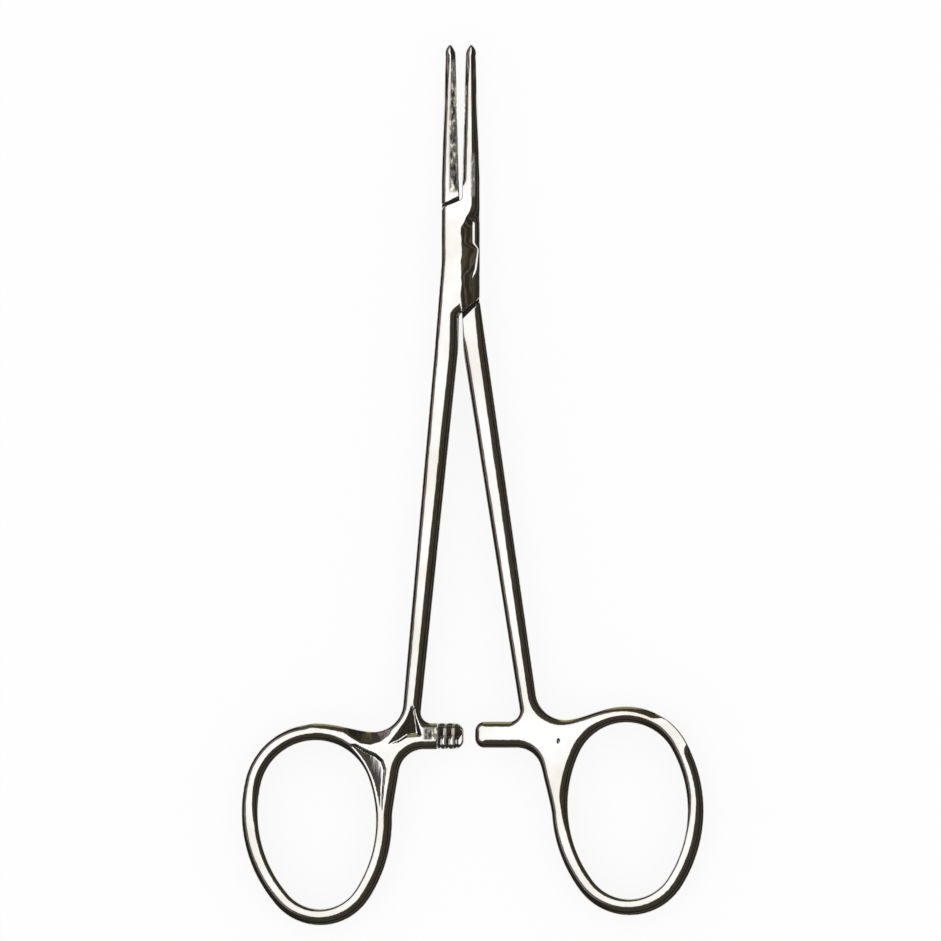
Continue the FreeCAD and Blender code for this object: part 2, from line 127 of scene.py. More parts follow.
class Outline:
    """Closed outlines in plan, made of straight runs and arcs."""

    ARC_STEP = math.radians(3.0)
    STRAIGHT = 1e-6

    @staticmethod
    def arc(centre: Point, radius: float, start: float, end: float) -> list[Point]:
        """Points along an arc.

        Args:
            centre: middle of the circle.
            radius: its radius.
            start: first angle in radians.
            end: last angle in radians.

        Returns:
            The points, with both ends.
        """
        steps = max(2, math.ceil(abs(end - start) / Outline.ARC_STEP))
        angles = np.linspace(start, end, steps + 1)
        return [(centre[0] + radius * math.cos(a), centre[1] + radius * math.sin(a)) for a in angles]

    @staticmethod
    def bulge(start: Point, end: Point, radius: float) -> list[Point]:
        """Points of a short arc that bulges to the left of the way from start to end.

        Args:
            start: where the arc begins.
            end: where it ends.
            radius: its radius.

        Returns:
            The points, with both ends.
        """
        a = np.array(start)
        b = np.array(end)
        half = np.linalg.norm(b - a) / 2
        left = np.array([-(b - a)[1], (b - a)[0]]) / (2 * half)
        centre = (a + b) / 2 - left * math.sqrt(radius ** 2 - half ** 2)
        first = math.atan2(*(a - centre)[::-1])
        turn = (math.atan2(*(b - centre)[::-1]) - first + math.pi) % (2 * math.pi) - math.pi
        return Outline.arc((centre[0], centre[1]), radius, first, first + turn)

    @staticmethod
    def rounded(corners: list[Corner]) -> np.ndarray:
        """Rounds each corner of a closed outline.

        Args:
            corners: place and fillet radius of each corner.

        Returns:
            The outline's points, one row each.
        """
        points: list[Point] = []
        for index, (x, y, radius) in enumerate(corners):
            here = np.array([x, y])
            before = np.array(corners[index - 1][:2]) - here
            after = np.array(corners[(index + 1) % len(corners)][:2]) - here
            before /= np.linalg.norm(before)
            after /= np.linalg.norm(after)
            opening = math.acos(float(np.clip(before @ after, -1.0, 1.0)))
            if radius <= 0.0 or math.pi - opening < Outline.STRAIGHT:
                points.append((x, y))
                continue
            run = radius / math.tan(opening / 2)
            middle = (before + after) / np.linalg.norm(before + after)
            centre = here + middle * math.hypot(run, radius)
            start = here + before * run - centre
            end = here + after * run - centre
            first = math.atan2(start[1], start[0])
            turn = math.atan2(end[1], end[0]) - first
            turn = (turn + math.pi) % (2 * math.pi) - math.pi
            points += Outline.arc((centre[0], centre[1]), radius, first, first + turn)
        return np.array(points)


@dataclass(frozen=True)
class Oval:
    """A finger ring's oval: head and foot arcs joined by two long side arcs."""

    head: Point
    head_radius: float
    foot: Point
    foot_radius: float
    side_radius: float = 19.0

    def outline(self, grow: float) -> np.ndarray:
        """The oval, offset outwards.

        Args:
            grow: offset from the middle of the band.

        Returns:
            The outline's points, one row each.
        """
        head = np.array(self.head)
        foot = np.array(self.foot)
        head_radius = self.head_radius + grow
        foot_radius = self.foot_radius + grow
        side_radius = self.side_radius + grow
        span = float(np.linalg.norm(head - foot))
        axis = (head - foot) / span
        across = np.array([axis[1], -axis[0]])
        to_head = side_radius - head_radius
        to_foot = side_radius - foot_radius
        rise = (to_foot ** 2 - to_head ** 2 + span ** 2) / (2 * span)
        reach = math.sqrt(to_foot ** 2 - rise ** 2)
        right = foot + axis * rise - across * reach
        left = foot + axis * rise + across * reach
        points = self._stretch(right, side_radius, foot - right, head - right)
        points += self._stretch(head, head_radius, head - right, head - left)
        points += self._stretch(left, side_radius, head - left, foot - left)
        points += self._stretch(foot, foot_radius, foot - left, foot - right)
        return np.array(points)

    @staticmethod
    def _stretch(centre: np.ndarray, radius: float, start: np.ndarray, end: np.ndarray) -> list[Point]:
        """One arc of the oval, anticlockwise.

        Args:
            centre: middle of the arc's circle.
            radius: its radius.
            start: way from the centre to the arc's start, of any length.
            end: way from the centre to its end.

        Returns:
            The arc's points.
        """
        first = math.atan2(start[1], start[0])
        last = math.atan2(end[1], end[0])
        turn = (last - first) % (2 * math.pi)
        return Outline.arc((centre[0], centre[1]), radius, first, first + turn)


class Block:
    """A block of sample points round one half, close together where the form is fine."""

    LEAST_LENGTH = 1e-12

    def __init__(self, across: Grading, along: Grading, upward: Grading) -> None:
        """Lays out the sample points.

        Args:
            across: stretches along X.
            along: stretches along Y.
            upward: stretches along Z.
        """
        self.axes = [self._graded(stretches) for stretches in (across, along, upward)]
        self.x = self.axes[0][:, None]
        self.y = self.axes[1][None, :]
        self.z = self.axes[2][None, None, :]

    @staticmethod
    def _graded(stretches: Grading) -> np.ndarray:
        """Sample places along one axis.

        Args:
            stretches: where each stretch starts and its pitch; the last one only ends the row.

        Returns:
            The places in rising order.
        """
        places = []
        for (start, pitch), (end, _) in zip(stretches, stretches[1:]):
            count = max(1, round((end - start) / pitch))
            places.append(np.linspace(start, end, count, endpoint=False))
        return np.concatenate(places + [[stretches[-1][0]]])

    def locate(self, places: np.ndarray) -> np.ndarray:
        """Places in millimetres.

        Args:
            places: places counted in steps of the block, one row each.

        Returns:
            The same places in millimetres.
        """
        return self._between(places, self.axes)

    def pitch_at(self, places: np.ndarray) -> np.ndarray:
        """The block's pitch along each axis at each place.

        Args:
            places: places counted in steps of the block, one row each.

        Returns:
            Three lengths a row.
        """
        return self._between(places, [np.gradient(axis) for axis in self.axes])

    @staticmethod
    def _between(places: np.ndarray, rows: list[np.ndarray]) -> np.ndarray:
        """Reads one row of values for each axis between its entries.

        Args:
            places: places counted in steps of the block, one row each.
            rows: a value for each sample place of each axis.

        Returns:
            Three values a row.
        """
        columns = [np.interp(places[:, i], np.arange(len(row)), row) for i, row in enumerate(rows)]
        return np.stack(columns, axis=1)

    def distance(self, outline: np.ndarray) -> np.ndarray:
        """Distance in plan to a closed outline, below zero inside it.

        Args:
            outline: the outline's points, one row each.

        Returns:
            One value for each place in plan.
        """
        x, y = np.broadcast_arrays(self.x, self.y)
        nearest = np.full(x.shape, np.inf)
        inside = np.zeros(x.shape, dtype=bool)
        for (ax, ay), (bx, by) in zip(outline, np.roll(outline, -1, axis=0)):
            run_x = bx - ax
            run_y = by - ay
            length = run_x * run_x + run_y * run_y
            if length < self.LEAST_LENGTH:
                continue
            share = np.clip(((x - ax) * run_x + (y - ay) * run_y) / length, 0.0, 1.0)
            gap = (x - ax - share * run_x) ** 2 + (y - ay - share * run_y) ** 2
            np.minimum(nearest, gap, out=nearest)
            if run_y != 0.0:
                crosses = (y >= min(ay, by)) & (y < max(ay, by))
                inside ^= crosses & (x < ax + (y - ay) * run_x / run_y)
        return np.where(inside, -1.0, 1.0) * np.sqrt(nearest)


def soft_max(a: np.ndarray, b: np.ndarray, reach: float) -> np.ndarray:
    """The greater of two fields, with the edge between them rounded over a reach."""
    blend = np.clip(reach - np.abs(a - b), 0.0, None) / reach
    return np.maximum(a, b) + blend * blend * reach / 4


def soft_min(a: np.ndarray, b: np.ndarray, reach: float) -> np.ndarray:
    """The lesser of two fields, with the corner between them filled over a reach."""
    return -soft_max(-a, -b, reach)


def ease(value: np.ndarray, start: float, end: float) -> np.ndarray:
    """A smooth step from 0 at start to 1 at end."""
    share = np.clip((value - start) / (end - start), 0.0, 1.0)
    return share * share * (3 - 2 * share)


def faded(value: np.ndarray, start: float, full: float, last: float, end: float) -> np.ndarray:
    """0 before start, 1 from full to last, and 0 again after end, with smooth steps between."""
    return ease(value, start, full) * ease(-value, -end, -last)


@dataclass(frozen=True)
class Hollow:
    """A hollow ground into the face.

    Attributes:
        outline: its outline in plan.
        fall: angle of the wall along the outline, in degrees.
        brink: line in plan that a gentler floor falls away from, on its left.
        floor: angle of that floor, in degrees.
        bend: how far from the brink the floor's angle changes, and to what.
        soft: rounding of the hollow's edges.
        bend_soft: rounding of the floor's bend.
    """

    outline: tuple[Point, ...]
    fall: float = 27.0
    brink: tuple[Point, Point] | None = None
    floor: float = 12.0
    bend: Point | None = None
    soft: float = 0.08
    bend_soft: float = 0.24

    def sunk(self, block: Block, drop: np.ndarray) -> np.ndarray:
        """Sinks the hollow into a face.

        Args:
            block: the sample points.
            drop: how far the face lies below its middle height so far.

        Returns:
            The same with the hollow.
        """
        inset = -block.distance(np.array(self.outline))
        depth = inset * math.tan(math.radians(self.fall))
        if self.brink is not None:
            (x, y), (to_x, to_y) = self.brink
            length = math.hypot(to_x - x, to_y - y)
            away = ((to_x - x) * (block.y - y) - (to_y - y) * (block.x - x)) / length
            steep = math.tan(math.radians(self.floor))
            ground = away * steep
            if self.bend is not None:
                place, tilt = self.bend
                gentle = place * steep + (away - place) * math.tan(math.radians(tilt))
                ground = soft_min(ground, gentle, self.bend_soft)
            depth = soft_min(depth, ground, self.soft)
        return soft_max(drop, depth, self.soft)


ARMPIT_HOLLOW = Hollow(
    outline=((-17.6, -67.0), (-15.3, -68.5), (-14.1, -69.2), (-12.7, -69.4), (-11.2, -68.95), (-9.9, -68.0),
             (-8.8, -66.4), (-8.2, -64.0), (-12.0, -63.2), (-17.6, -64.5)),
    fall=31.0)
SHANK_HOLLOW = Hollow(
    outline=((-7.05, -63.4), (-7.6, -64.8), (-8.4, -66.3), (-8.9, -67.4), (-9.8, -68.7), (-10.4, -69.4),
             (-8.7, -68.95), (-7.6, -68.3), (-5.5, -68.2), (-5.7, -67.4), (-6.2, -65.4), (-6.5, -64.3)),
    fall=50.0, brink=((-7.0, -63.0), (-10.6, -69.6)), floor=11.5)
RING_HOLLOW = Hollow(
    outline=((-16.1, -69.4), (-14.9, -69.3), (-13.55, -70.05), (-12.0, -70.7), (-11.0, -71.6), (-10.6, -72.9),
             (-10.9, -75.3), (-11.25, -79.3), (-11.4, -79.9), (-11.95, -77.6), (-12.7, -75.4), (-14.2, -72.5)),
    fall=62.0, brink=((-16.3, -69.0), (-11.3, -80.2)), floor=15.5, bend=(1.0, 7.9))
WEB_PIT = Hollow(
    outline=((13.71, -68.89), (13.79, -68.55), (13.98, -68.48), (14.09, -68.74), (14.05, -69.11),
             (13.83, -69.23)),
    fall=50.0)


@dataclass(frozen=True)
class Strip:
    """A strip in plan of wear flecks and painted glints, whose edges fade out.

    Attributes:
        across: places along X where it sets in, is full, is still full, and ends.
        along: the same along Y.
        strength: how strong its flecks and glints are, from 0 to 1.
    """

    across: Span
    along: Span
    strength: float = 1.0

    def share(self, x: np.ndarray, y: np.ndarray) -> np.ndarray:
        """How far each place in plan belongs to the strip, from 0 to 1."""
        return self.strength * faded(x, *self.across) * faded(y, *self.along)


# Wear specks with painted glints on the box half's jaw root
JAW_SPECKS = Strip(across=(1.32, 1.57, 1.87, 2.12), along=(8.2, 9.0, 13.5, 15.0), strength=0.7)
# Painted gold reflection, with dark flecks, on the bar beside the teeth
BAR_GOLD_REFLECTION = Strip(across=(-5.5, -5.0, -3.3, -2.9), along=(-68.75, -68.45, -67.05, -66.75))

# Depth, radians for each millimetre and shift of the waves along the ground flank's start
RAGGED: tuple[Corner, ...] = ((0.05, 1.3, 0.0), (0.03, 2.9, 1.0), (0.015, 5.1, 2.0))


class Skin:
    """Turns a field, below zero inside the metal, into a smooth closed mesh."""

    CORNERS = np.array([(i, j, k) for i in (0, 1) for j in (0, 1) for k in (0, 1)])
    SLOPE_REACH = 0.6
    SETTLE_ROUNDS = 3
    SETTLE_LIMIT = 0.5
    LEAST_SLOPE = 1e-6

    def __init__(self, block: Block, values: np.ndarray) -> None:
        """Keeps the field.

        Args:
            block: the sample points.
            values: the field's value at each of them.
        """
        self.block = block
        self.values = values

    def sample(self, places: np.ndarray) -> np.ndarray:
        """The field between the sample points.

        Args:
            places: places counted in steps of the block, one row each.

        Returns:
            One value for each place.
        """
        limit = np.array(self.values.shape) - 2
        cell = np.clip(places.astype(int), 0, limit)
        share = places - cell
        total = np.zeros(len(places))
        for corner in self.CORNERS:
            weight = np.prod(np.where(corner, share, 1 - share), axis=1)
            i, j, k = (cell + corner).T
            total += weight * self.values[i, j, k]
        return total

    def slope(self, places: np.ndarray) -> np.ndarray:
        """The field's slope at each place, by differences over a little more than one step."""
        steps = np.eye(3) * self.SLOPE_REACH
        differences = [self.sample(places + step) - self.sample(places - step) for step in steps]
        return np.stack(differences, axis=1) / (2 * self.SLOPE_REACH)

    def vertices(self) -> tuple[np.ndarray, np.ndarray]:
        """Places one vertex in each cell that the surface passes through.

        Returns:
            The places in steps of the block, and the number of each cell's vertex.
        """
        inside = self.values < 0.0
        wide, deep, high = (size - 1 for size in inside.shape)
        corners = [inside[i:i + wide, j:j + deep, k:k + high] for i, j, k in self.CORNERS]
        count = sum(corner.astype(int) for corner in corners)
        cells = np.argwhere((count > 0) & (count < len(corners)))
        numbers = np.full(count.shape, -1)
        numbers[tuple(cells.T)] = np.arange(len(cells))
        total = np.zeros((len(cells), 3))
        crossings = np.zeros(len(cells))
        for start in self.CORNERS:
            for axis in np.flatnonzero(start == 0):
                step = np.zeros(3, dtype=int)
                step[axis] = 1
                a = self.values[tuple((cells + start).T)]
                b = self.values[tuple((cells + start + step).T)]
                crossed = (a < 0.0) != (b < 0.0)
                share = np.where(crossed, a / np.where(crossed, a - b, 1.0), 0.0)
                total += crossed[:, None] * (start + share[:, None] * step)
                crossings += crossed
        places = cells + total / crossings[:, None]
        return self.settle(places), numbers

    def settle(self, places: np.ndarray) -> np.ndarray:
        """Moves each vertex on to the surface, by no more than half a step.

        Args:
            places: the vertices' first places, in steps of the block.

        Returns:
            Their places on the surface.
        """
        start = places.copy()
        for _ in range(self.SETTLE_ROUNDS):
            slope = self.slope(places)
            steep = np.maximum((slope ** 2).sum(axis=1), self.LEAST_SLOPE)
            places = places - slope * (self.sample(places) / steep)[:, None]
            places = np.clip(places, start - self.SETTLE_LIMIT, start + self.SETTLE_LIMIT)
        return places

    def quads(self, numbers: np.ndarray) -> np.ndarray:
        """Joins the vertices round each sample edge that the surface crosses.

        Args:
            numbers: number of each cell's vertex.

        Returns:
            Four vertex numbers a row, turning outwards.
        """
        inside = self.values < 0.0
        faces = []
        for axis in range(3):
            others = [a for a in range(3) if a != axis]
            ahead = [slice(1, -1)] * 3
            behind = [slice(1, -1)] * 3
            ahead[axis] = slice(1, None)
            behind[axis] = slice(None, -1)
            near = inside[tuple(behind)]
            far = inside[tuple(ahead)]
            ring = []
            for first, second in ((0, 0), (1, 0), (1, 1), (0, 1)):
                part = [slice(None)] * 3
                part[others[0]] = slice(first, numbers.shape[others[0]] - 1 + first)
                part[others[1]] = slice(second, numbers.shape[others[1]] - 1 + second)
                ring.append(numbers[tuple(part)])
            crossed = near != far
            quad = np.stack([r[crossed] for r in ring], axis=1)
            outward = near[crossed] if axis != 1 else far[crossed]
            faces.append(np.where(outward[:, None], quad, quad[:, ::-1]))
        return np.concatenate(faces)

    def mesh(self, name: str, marks: dict[str, Mark]) -> bpy.types.Mesh:
        """Makes the mesh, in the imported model's frame and in metres.

        Args:
            name: name of the mesh.
            marks: each surface attribute's name, and its value at given places.

        Returns:
            A smooth mesh whose shading follows the field.
        """
        places, numbers = self.vertices()
        faces = self.quads(numbers)
        slope = self.slope(places) / self.block.pitch_at(places)
        normals = slope / np.linalg.norm(slope, axis=1)[:, None]
        local = self.block.locate(places)
        at = local + np.array([LAYOUT.pivot_across, LAYOUT.pivot_along, 0.0])
        mesh = bpy.data.meshes.new(name)
        mesh.vertices.add(len(at))
        mesh.vertices.foreach_set("co", (at * MILLIMETRE).ravel())
        mesh.loops.add(faces.size)
        mesh.loops.foreach_set("vertex_index", faces.ravel())
        mesh.polygons.add(len(faces))
        mesh.polygons.foreach_set("loop_start", np.arange(0, faces.size, 4))
        mesh.polygons.foreach_set("use_smooth", np.ones(len(faces), dtype=bool))
        mesh.update(calc_edges=True)
        mesh.normals_split_custom_set_from_vertices(normals.tolist())
        for mark, value_at in marks.items():
            attribute = mesh.attributes.new(mark, "FLOAT", "POINT")
            attribute.data.foreach_set("value", value_at(local).astype(np.float32))
        return mesh


@dataclass(frozen=True)
class Grain:
    """A noise pattern, laid out in the object's own coordinates.

    Attributes:
        scale: noise cells for each metre.
        detail: octaves of finer noise.
        stretch: scale along each axis.
    """

    scale: float
    detail: float
    stretch: Corner = (1.0, 1.0, 1.0)


class NodeBoard:
    """The nodes of one material, with short ways to add those that the finishes use."""

    def __init__(self, name: str) -> None:
        """Starts the material.

        Args:
            name: name of the material.
        """
        self.material = bpy.data.materials.new(name)
        self.material.use_nodes = True
        self.nodes = self.material.node_tree.nodes
        self.links = self.material.node_tree.links

    def feed(self, socket: Socket, value: Value) -> None:
        """Links another socket to a socket, or sets it to a number, a vector or a colour."""
        if isinstance(value, Socket):
            self.links.new(value, socket)
        else:
            socket.default_value = value

    def place(self) -> Socket:
        """The object's own coordinates."""
        return self.nodes.new("ShaderNodeTexCoord").outputs["Object"]

    def mark(self, name: str) -> Socket:
        """The value of a surface attribute."""
        node = self.nodes.new("ShaderNodeAttribute")
        node.attribute_name = name
        return node.outputs["Fac"]

    def noise(self, place: Socket, grain: Grain) -> Socket:
        """Adds a noise texture.

        Args:
            place: the coordinates.
            grain: scale, detail and stretch of the noise.

        Returns:
            The noise's value.
        """
        mapping = self.nodes.new("ShaderNodeMapping")
        mapping.inputs["Scale"].default_value = grain.stretch
        self.feed(mapping.inputs["Vector"], place)
        noise = self.nodes.new("ShaderNodeTexNoise")
        noise.inputs["Scale"].default_value = grain.scale
        noise.inputs["Detail"].default_value = grain.detail
        self.feed(noise.inputs["Vector"], mapping.outputs["Vector"])
        return noise.outputs["Fac"]

    def ramp(self, value: Socket, stops: tuple[Stop, ...]) -> Socket:
        """Adds a colour ramp.

        Args:
            value: the value to colour.
            stops: place and colour of each stop, in rising order.

        Returns:
            The colour.
        """
        ramp = self.nodes.new("ShaderNodeValToRGB")
        elements = ramp.color_ramp.elements
        elements[0].position = stops[0][0]
        elements[1].position = stops[-1][0]
        for position, *_ in stops[1:-1]:
            elements.new(position)
        for element, (_, red, green, blue) in zip(elements, stops):
            element.color = (red, green, blue, 1.0)
        self.feed(ramp.inputs["Fac"], value)
        return ramp.outputs["Color"]

    def mixed(self, share: Socket, first: Value, second: Value) -> Socket:
        """Adds a mix of two colours.

        Args:
            share: share of the second colour.
            first: the first colour.
            second: the second colour.

        Returns:
            The mixed colour.
        """
        mix = self.nodes.new("ShaderNodeMix")
        mix.data_type = "RGBA"
        self.feed(mix.inputs["Factor"], share)
        self.feed(mix.inputs["A"], first)
        self.feed(mix.inputs["B"], second)
        return mix.outputs["Result"]

    def spread(self, value: Socket, low: float, high: float,
               start: float = 0.0, end: float = 1.0) -> Socket:
        """Maps one range of a value on to another, and holds it within that.

        Args:
            value: the value.
            low: what it becomes at start.
            high: what it becomes at end.
            start: start of its own range.
            end: end of its own range.

        Returns:
            The mapped value.
        """
        node = self.nodes.new("ShaderNodeMapRange")
        node.inputs["From Min"].default_value = start
        node.inputs["From Max"].default_value = end
        node.inputs["To Min"].default_value = low
        node.inputs["To Max"].default_value = high
        self.feed(node.inputs["Value"], value)
        return node.outputs["Result"]

    def arithmetic(self, operation: str, *values: Value, clamp: bool = False) -> Socket:
        """Adds one step of arithmetic.

        Args:
            operation: Blender's name of it.
            values: what it works on, in order.
            clamp: whether the result is held between 0 and 1.

        Returns:
            The result.
        """
        node = self.nodes.new("ShaderNodeMath")
        node.operation = operation
        node.use_clamp = clamp
        for socket, value in zip(node.inputs, values):
            self.feed(socket, value)
        return node.outputs["Value"]

    def nearness(self, direction: Socket, to: Vector) -> Socket:
        """Cosine of the angle between a direction and a fixed one."""
        node = self.nodes.new("ShaderNodeVectorMath")
        node.operation = "DOT_PRODUCT"
        node.inputs[1].default_value = to
        self.feed(node.inputs[0], direction)
        return node.outputs["Value"]

    def bump(self, height: Socket, distance: float, under: Socket | None = None) -> Socket:
        """Adds bumps.

        Args:
            height: the noise that gives their height.
            distance: their height in metres.
            under: the bumps below these, if any.

        Returns:
            The surface's normal.
        """
        bump = self.nodes.new("ShaderNodeBump")
        bump.inputs["Distance"].default_value = distance
        self.feed(bump.inputs["Height"], height)
        if under is not None:
            self.feed(bump.inputs["Normal"], under)
        return bump.outputs["Normal"]


@dataclass(frozen=True)
class Steel:
    """Mirror-polished stainless steel, a little wavy from hand polishing."""

    name: str = "polished_steel"
    stain_stops: tuple[Stop, ...] = ((0.35, 0.72, 0.69, 0.64), (0.6, 0.80, 0.79, 0.775))
    # Dark wear flecks, and a pale gold top stop that paints glints
    fleck_and_glint_stops: tuple[Stop, ...] = (
        (0.40, 0.03, 0.026, 0.022), (0.48, 0.12, 0.11, 0.10), (0.54, 0.34, 0.32, 0.30),
        (0.575, 0.12, 0.105, 0.09), (0.615, 0.95, 0.86, 0.66))
    # Near-black painted shade for the lock's inside
    inner_shade_colour: Corner = (0.035, 0.032, 0.028)
    waves: Grain = Grain(420.0, 3.0, (1.0, 0.2, 1.0))
    wave_height: float = 3.5e-5
    dapple: Grain = Grain(1700.0, 2.0, (1.0, 0.25, 1.0))
    dapple_height: float = 8.0e-6
    scratches: Grain = Grain(9000.0, 2.0, (1.0, 0.05, 1.0))
    scratch_height: float = 3.0e-7
    stains: Grain = Grain(160.0, 4.0)
    flecks: Grain = Grain(2300.0, 4.0, (1.0, 0.45, 1.0))
    roughness: float = 0.07
    roughness_spread: Point = (0.6, 1.6)
    inner_roughness: float = 0.4
    worn_roughness: float = 0.22
    worn_metal: float = 0.35

    def material(self) -> bpy.types.Material:
        """Builds the node material.

        Returns:
            The material: polishing waves, fine scratches, faint stains, wear flecks with painted glints,
                painted shade.
        """
        board = NodeBoard(self.name)
        shader = board.nodes["Principled BSDF"]
        place = board.place()
        scratches = board.noise(place, self.scratches)
        # The lock's inside: rough, and painted near-black as shade
        rough_and_shaded = board.mark("rough_and_shaded")
        # Wear flecks with painted glints
        wear_glint_share = board.mark("wear_and_glints")
        colour = self._colour(board, place, rough_and_shaded, wear_glint_share)
        board.feed(shader.inputs["Base Color"], colour)
        board.feed(shader.inputs["Metallic"], board.spread(wear_glint_share, 1.0, self.worn_metal))
        dullness = self._dullness(board, scratches, rough_and_shaded, wear_glint_share)
        board.feed(shader.inputs["Roughness"], dullness)
        board.feed(shader.inputs["Normal"], self._relief(board, place, scratches))
        return board.material

    def _colour(self, board: NodeBoard, place: Socket, rough_and_shaded: Socket, wear_glint_share: Socket) -> Socket:
        """Stained steel, with wear flecks and painted glints where marked, and painted shade inside the lock.

        Args:
            board: the material's nodes.
            place: the coordinates.
            rough_and_shaded: share of the lock's inside, which is rough and painted near-black as shade.
            wear_glint_share: share of the wear flecks and painted glints.

        Returns:
            The colour.
        """
        stained = board.ramp(board.noise(place, self.stains), self.stain_stops)
        flecked = board.ramp(board.noise(place, self.flecks), self.fleck_and_glint_stops)
        polished = board.mixed(wear_glint_share, stained, flecked)
        return board.mixed(rough_and_shaded, polished, (*self.inner_shade_colour, 1.0))

    def _dullness(self, board: NodeBoard, scratches: Socket, rough_and_shaded: Socket, wear_glint_share: Socket) -> Socket:
        """Roughness that follows the scratches and rises on the wear flecks and inside the lock.

        Args:
            board: the material's nodes.
            scratches: the scratches' noise.
            rough_and_shaded: share of the lock's inside.
            wear_glint_share: share of the wear flecks and painted glints.

        Returns:
            The roughness.
        """
        low, high = (self.roughness * share for share in self.roughness_spread)
        scratched = board.spread(scratches, low, high)
        blunt = board.arithmetic("MULTIPLY_ADD", wear_glint_share, self.worn_roughness, scratched)
        return board.arithmetic("MULTIPLY_ADD", rough_and_shaded, self.inner_roughness, blunt)

    def _relief(self, board: NodeBoard, place: Socket, scratches: Socket) -> Socket:
        """Polishing waves, finer dapples on them, and scratches on both.

        Args:
            board: the material's nodes.
            place: the coordinates.
            scratches: the scratches' noise.

        Returns:
            The surface's normal.
        """
        wavy = board.bump(board.noise(place, self.waves), self.wave_height)
        dappled = board.bump(board.noise(place, self.dapple), self.dapple_height, wavy)
        return board.bump(scratches, self.scratch_height, dappled)


@dataclass
class Half:
    """One half of the forceps: jaw, box or tang, shank, ratchet bar and finger ring.

    Attributes:
        node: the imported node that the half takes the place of.
        body: the moving body that it rides on.
        shank_lean: degrees between the shank and the middle line.
        shank_offset: how far outwards the shank's middle line passes the pivot.
        bar_end: place along X of the ratchet bar's end.
        bar_drop: how far below the pivot the bar's upper edge lies.
        shoulder_drop: how far below the pivot the web's upper edge lies.
        flank_across: how far from the middle line the web's inner flank leaves the bar.
        flank_slope: how much further out that flank lies at its foot.
        nose_bulge: radii of the nose's flanks, at the gripping face and at the outer side.
        fillet_fade: between which places along Y the ring's fillet grows to its whole reach.
        faded_blend: the fillet's reach below that.
        crown: width of the curve that the face falls away in, towards its outer edges.
        crown_tilt: tilt of that curve at the edge, in degrees.
        inner_crown: width of the face's curve at the ring's opening, below and at the web.
        inner_taper: between which places along Y that width grows.
        tooth_share: length of a tooth at the bar's lower edge, as a share of the pitch.
        tooth_widening: where across the bar it grows to the whole pitch, in bar widths.
        step_bevel: width and tilt of the bevel along the stepped face's upper edge.
        step_rounding: width of the rounding along its lower edge, and at its other edges.
        across: stretches of sample points along X.
        along: stretches of sample points along Y.
        flush_nodes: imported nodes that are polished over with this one.
        hollows: hollows ground into the faces.
    """

    node: str
    body: str
    side: Side
    ring: Oval
    shank_lean: float
    shank_offset: float
    bar_end: float
    bar_drop: float
    shoulder_drop: float
    flank_across: float
    flank_slope: float
    shank_head: float = 13.3
    shank_head_width: float = 3.4
    shank_foot_width: float = 2.65
    bar_width: float = 3.8
    bar_corner: float = 1.35
    flank_depth: float = 13.5
    shank_outer_round: float = 30.0
    shank_inner_round: float = 20.0
    armpit_round: float = 4.2
    crook_round: float = 1.5
    underbar_round: float = 3.5
    band_width: float = 2.35
    blend: float = 2.2
    faded_blend: float = 0.44
    fillet_fade: Point = (-79.5, -74.0)
    jaw_tip_width: float = 1.5
    nose_length: float = 1.7
    nose_bulge: Point = (2.35, 1.5)
    box_half_width: float = 2.75
    jaw_root_rise: float = 10.8
    jaw_root_round: float = 30.0
    cheek_head_inner: float = 8.1
    cheek_head_outer: float = 6.9
    cheek_foot_inner: float = 8.4
    cheek_foot_outer: float = 5.9
    crotch_gap: float = 0.48
    tang_disc: float = 2.0
    crown: float = 1.5
    crown_tilt: float = 42.0
    inner_crown: Point = (0.75, 1.5)
    inner_taper: Point = (-80.8, -74.5)
    arris: float = 0.09
    serration_pitch: float = 0.85
    serration_depth: float = 0.15
    serration_start: float = 10.0
    groove_margin: float = 0.75
    tooth_pitch: float = 1.15
    tooth_height: float = 0.45
    tooth_clearance: float = 0.06
    tooth_margin: float = 0.35
    teeth: int = 3
    step_bevel: Point = (0.75, 39.0)
    step_rounding: Point = (0.85, 0.35)
    tooth_share: float = 0.55
    tooth_widening: Point = (-1 / 6, 1 / 8)
    cut_edge: float = 0.08
    slot_height: float = 1.5
    across: Grading = ()
    along: Grading = ()
    flush_nodes: tuple[str, ...] = ()
    hollows: tuple[Hollow, ...] = ()

    def shank_at(self, drop: float, width: float, edge: int) -> float:
        """How far across a shank's edge lies.

        Args:
            drop: distance below the pivot.
            width: width of the shank there.
            edge: 1 for the outer edge, -1 for the inner one.

        Returns:
            The place along X.
        """
        lean = self.shank_offset + drop * math.tan(math.radians(self.shank_lean))
        return self.side.value * (lean + edge * width / 2)

    def arm_corners(self) -> list[Corner]:
        """The shank and the bar.

        Returns:
            Their corners, from the shank's outer head round to its inner head.
        """
        s = self.side.value
        under = self.bar_drop + self.bar_width
        base = under + self.flank_depth
        head = self.shank_head
        head_width = self.shank_head_width
        foot_width = self.shank_foot_width
        return [
            (self.shank_at(head, head_width, 1), -head, self.shank_outer_round),
            (self.shank_at(self.shoulder_drop, foot_width, 1), -self.shoulder_drop, self.armpit_round),
            (self.ring.head[0], -self.shoulder_drop, 0.0),
            (self.ring.head[0], -base, 0.0),
            (s * (self.flank_across + self.flank_slope), -base, 0.0),
            (s * self.flank_across, -under, self.underbar_round),
            (self.bar_end, -under, self.bar_corner),
            (self.bar_end, -self.bar_drop, self.bar_corner),
            (self.shank_at(self.bar_drop, foot_width, -1), -self.bar_drop, self.crook_round),
            (self.shank_at(head, head_width, -1), -head, self.shank_inner_round),
        ]

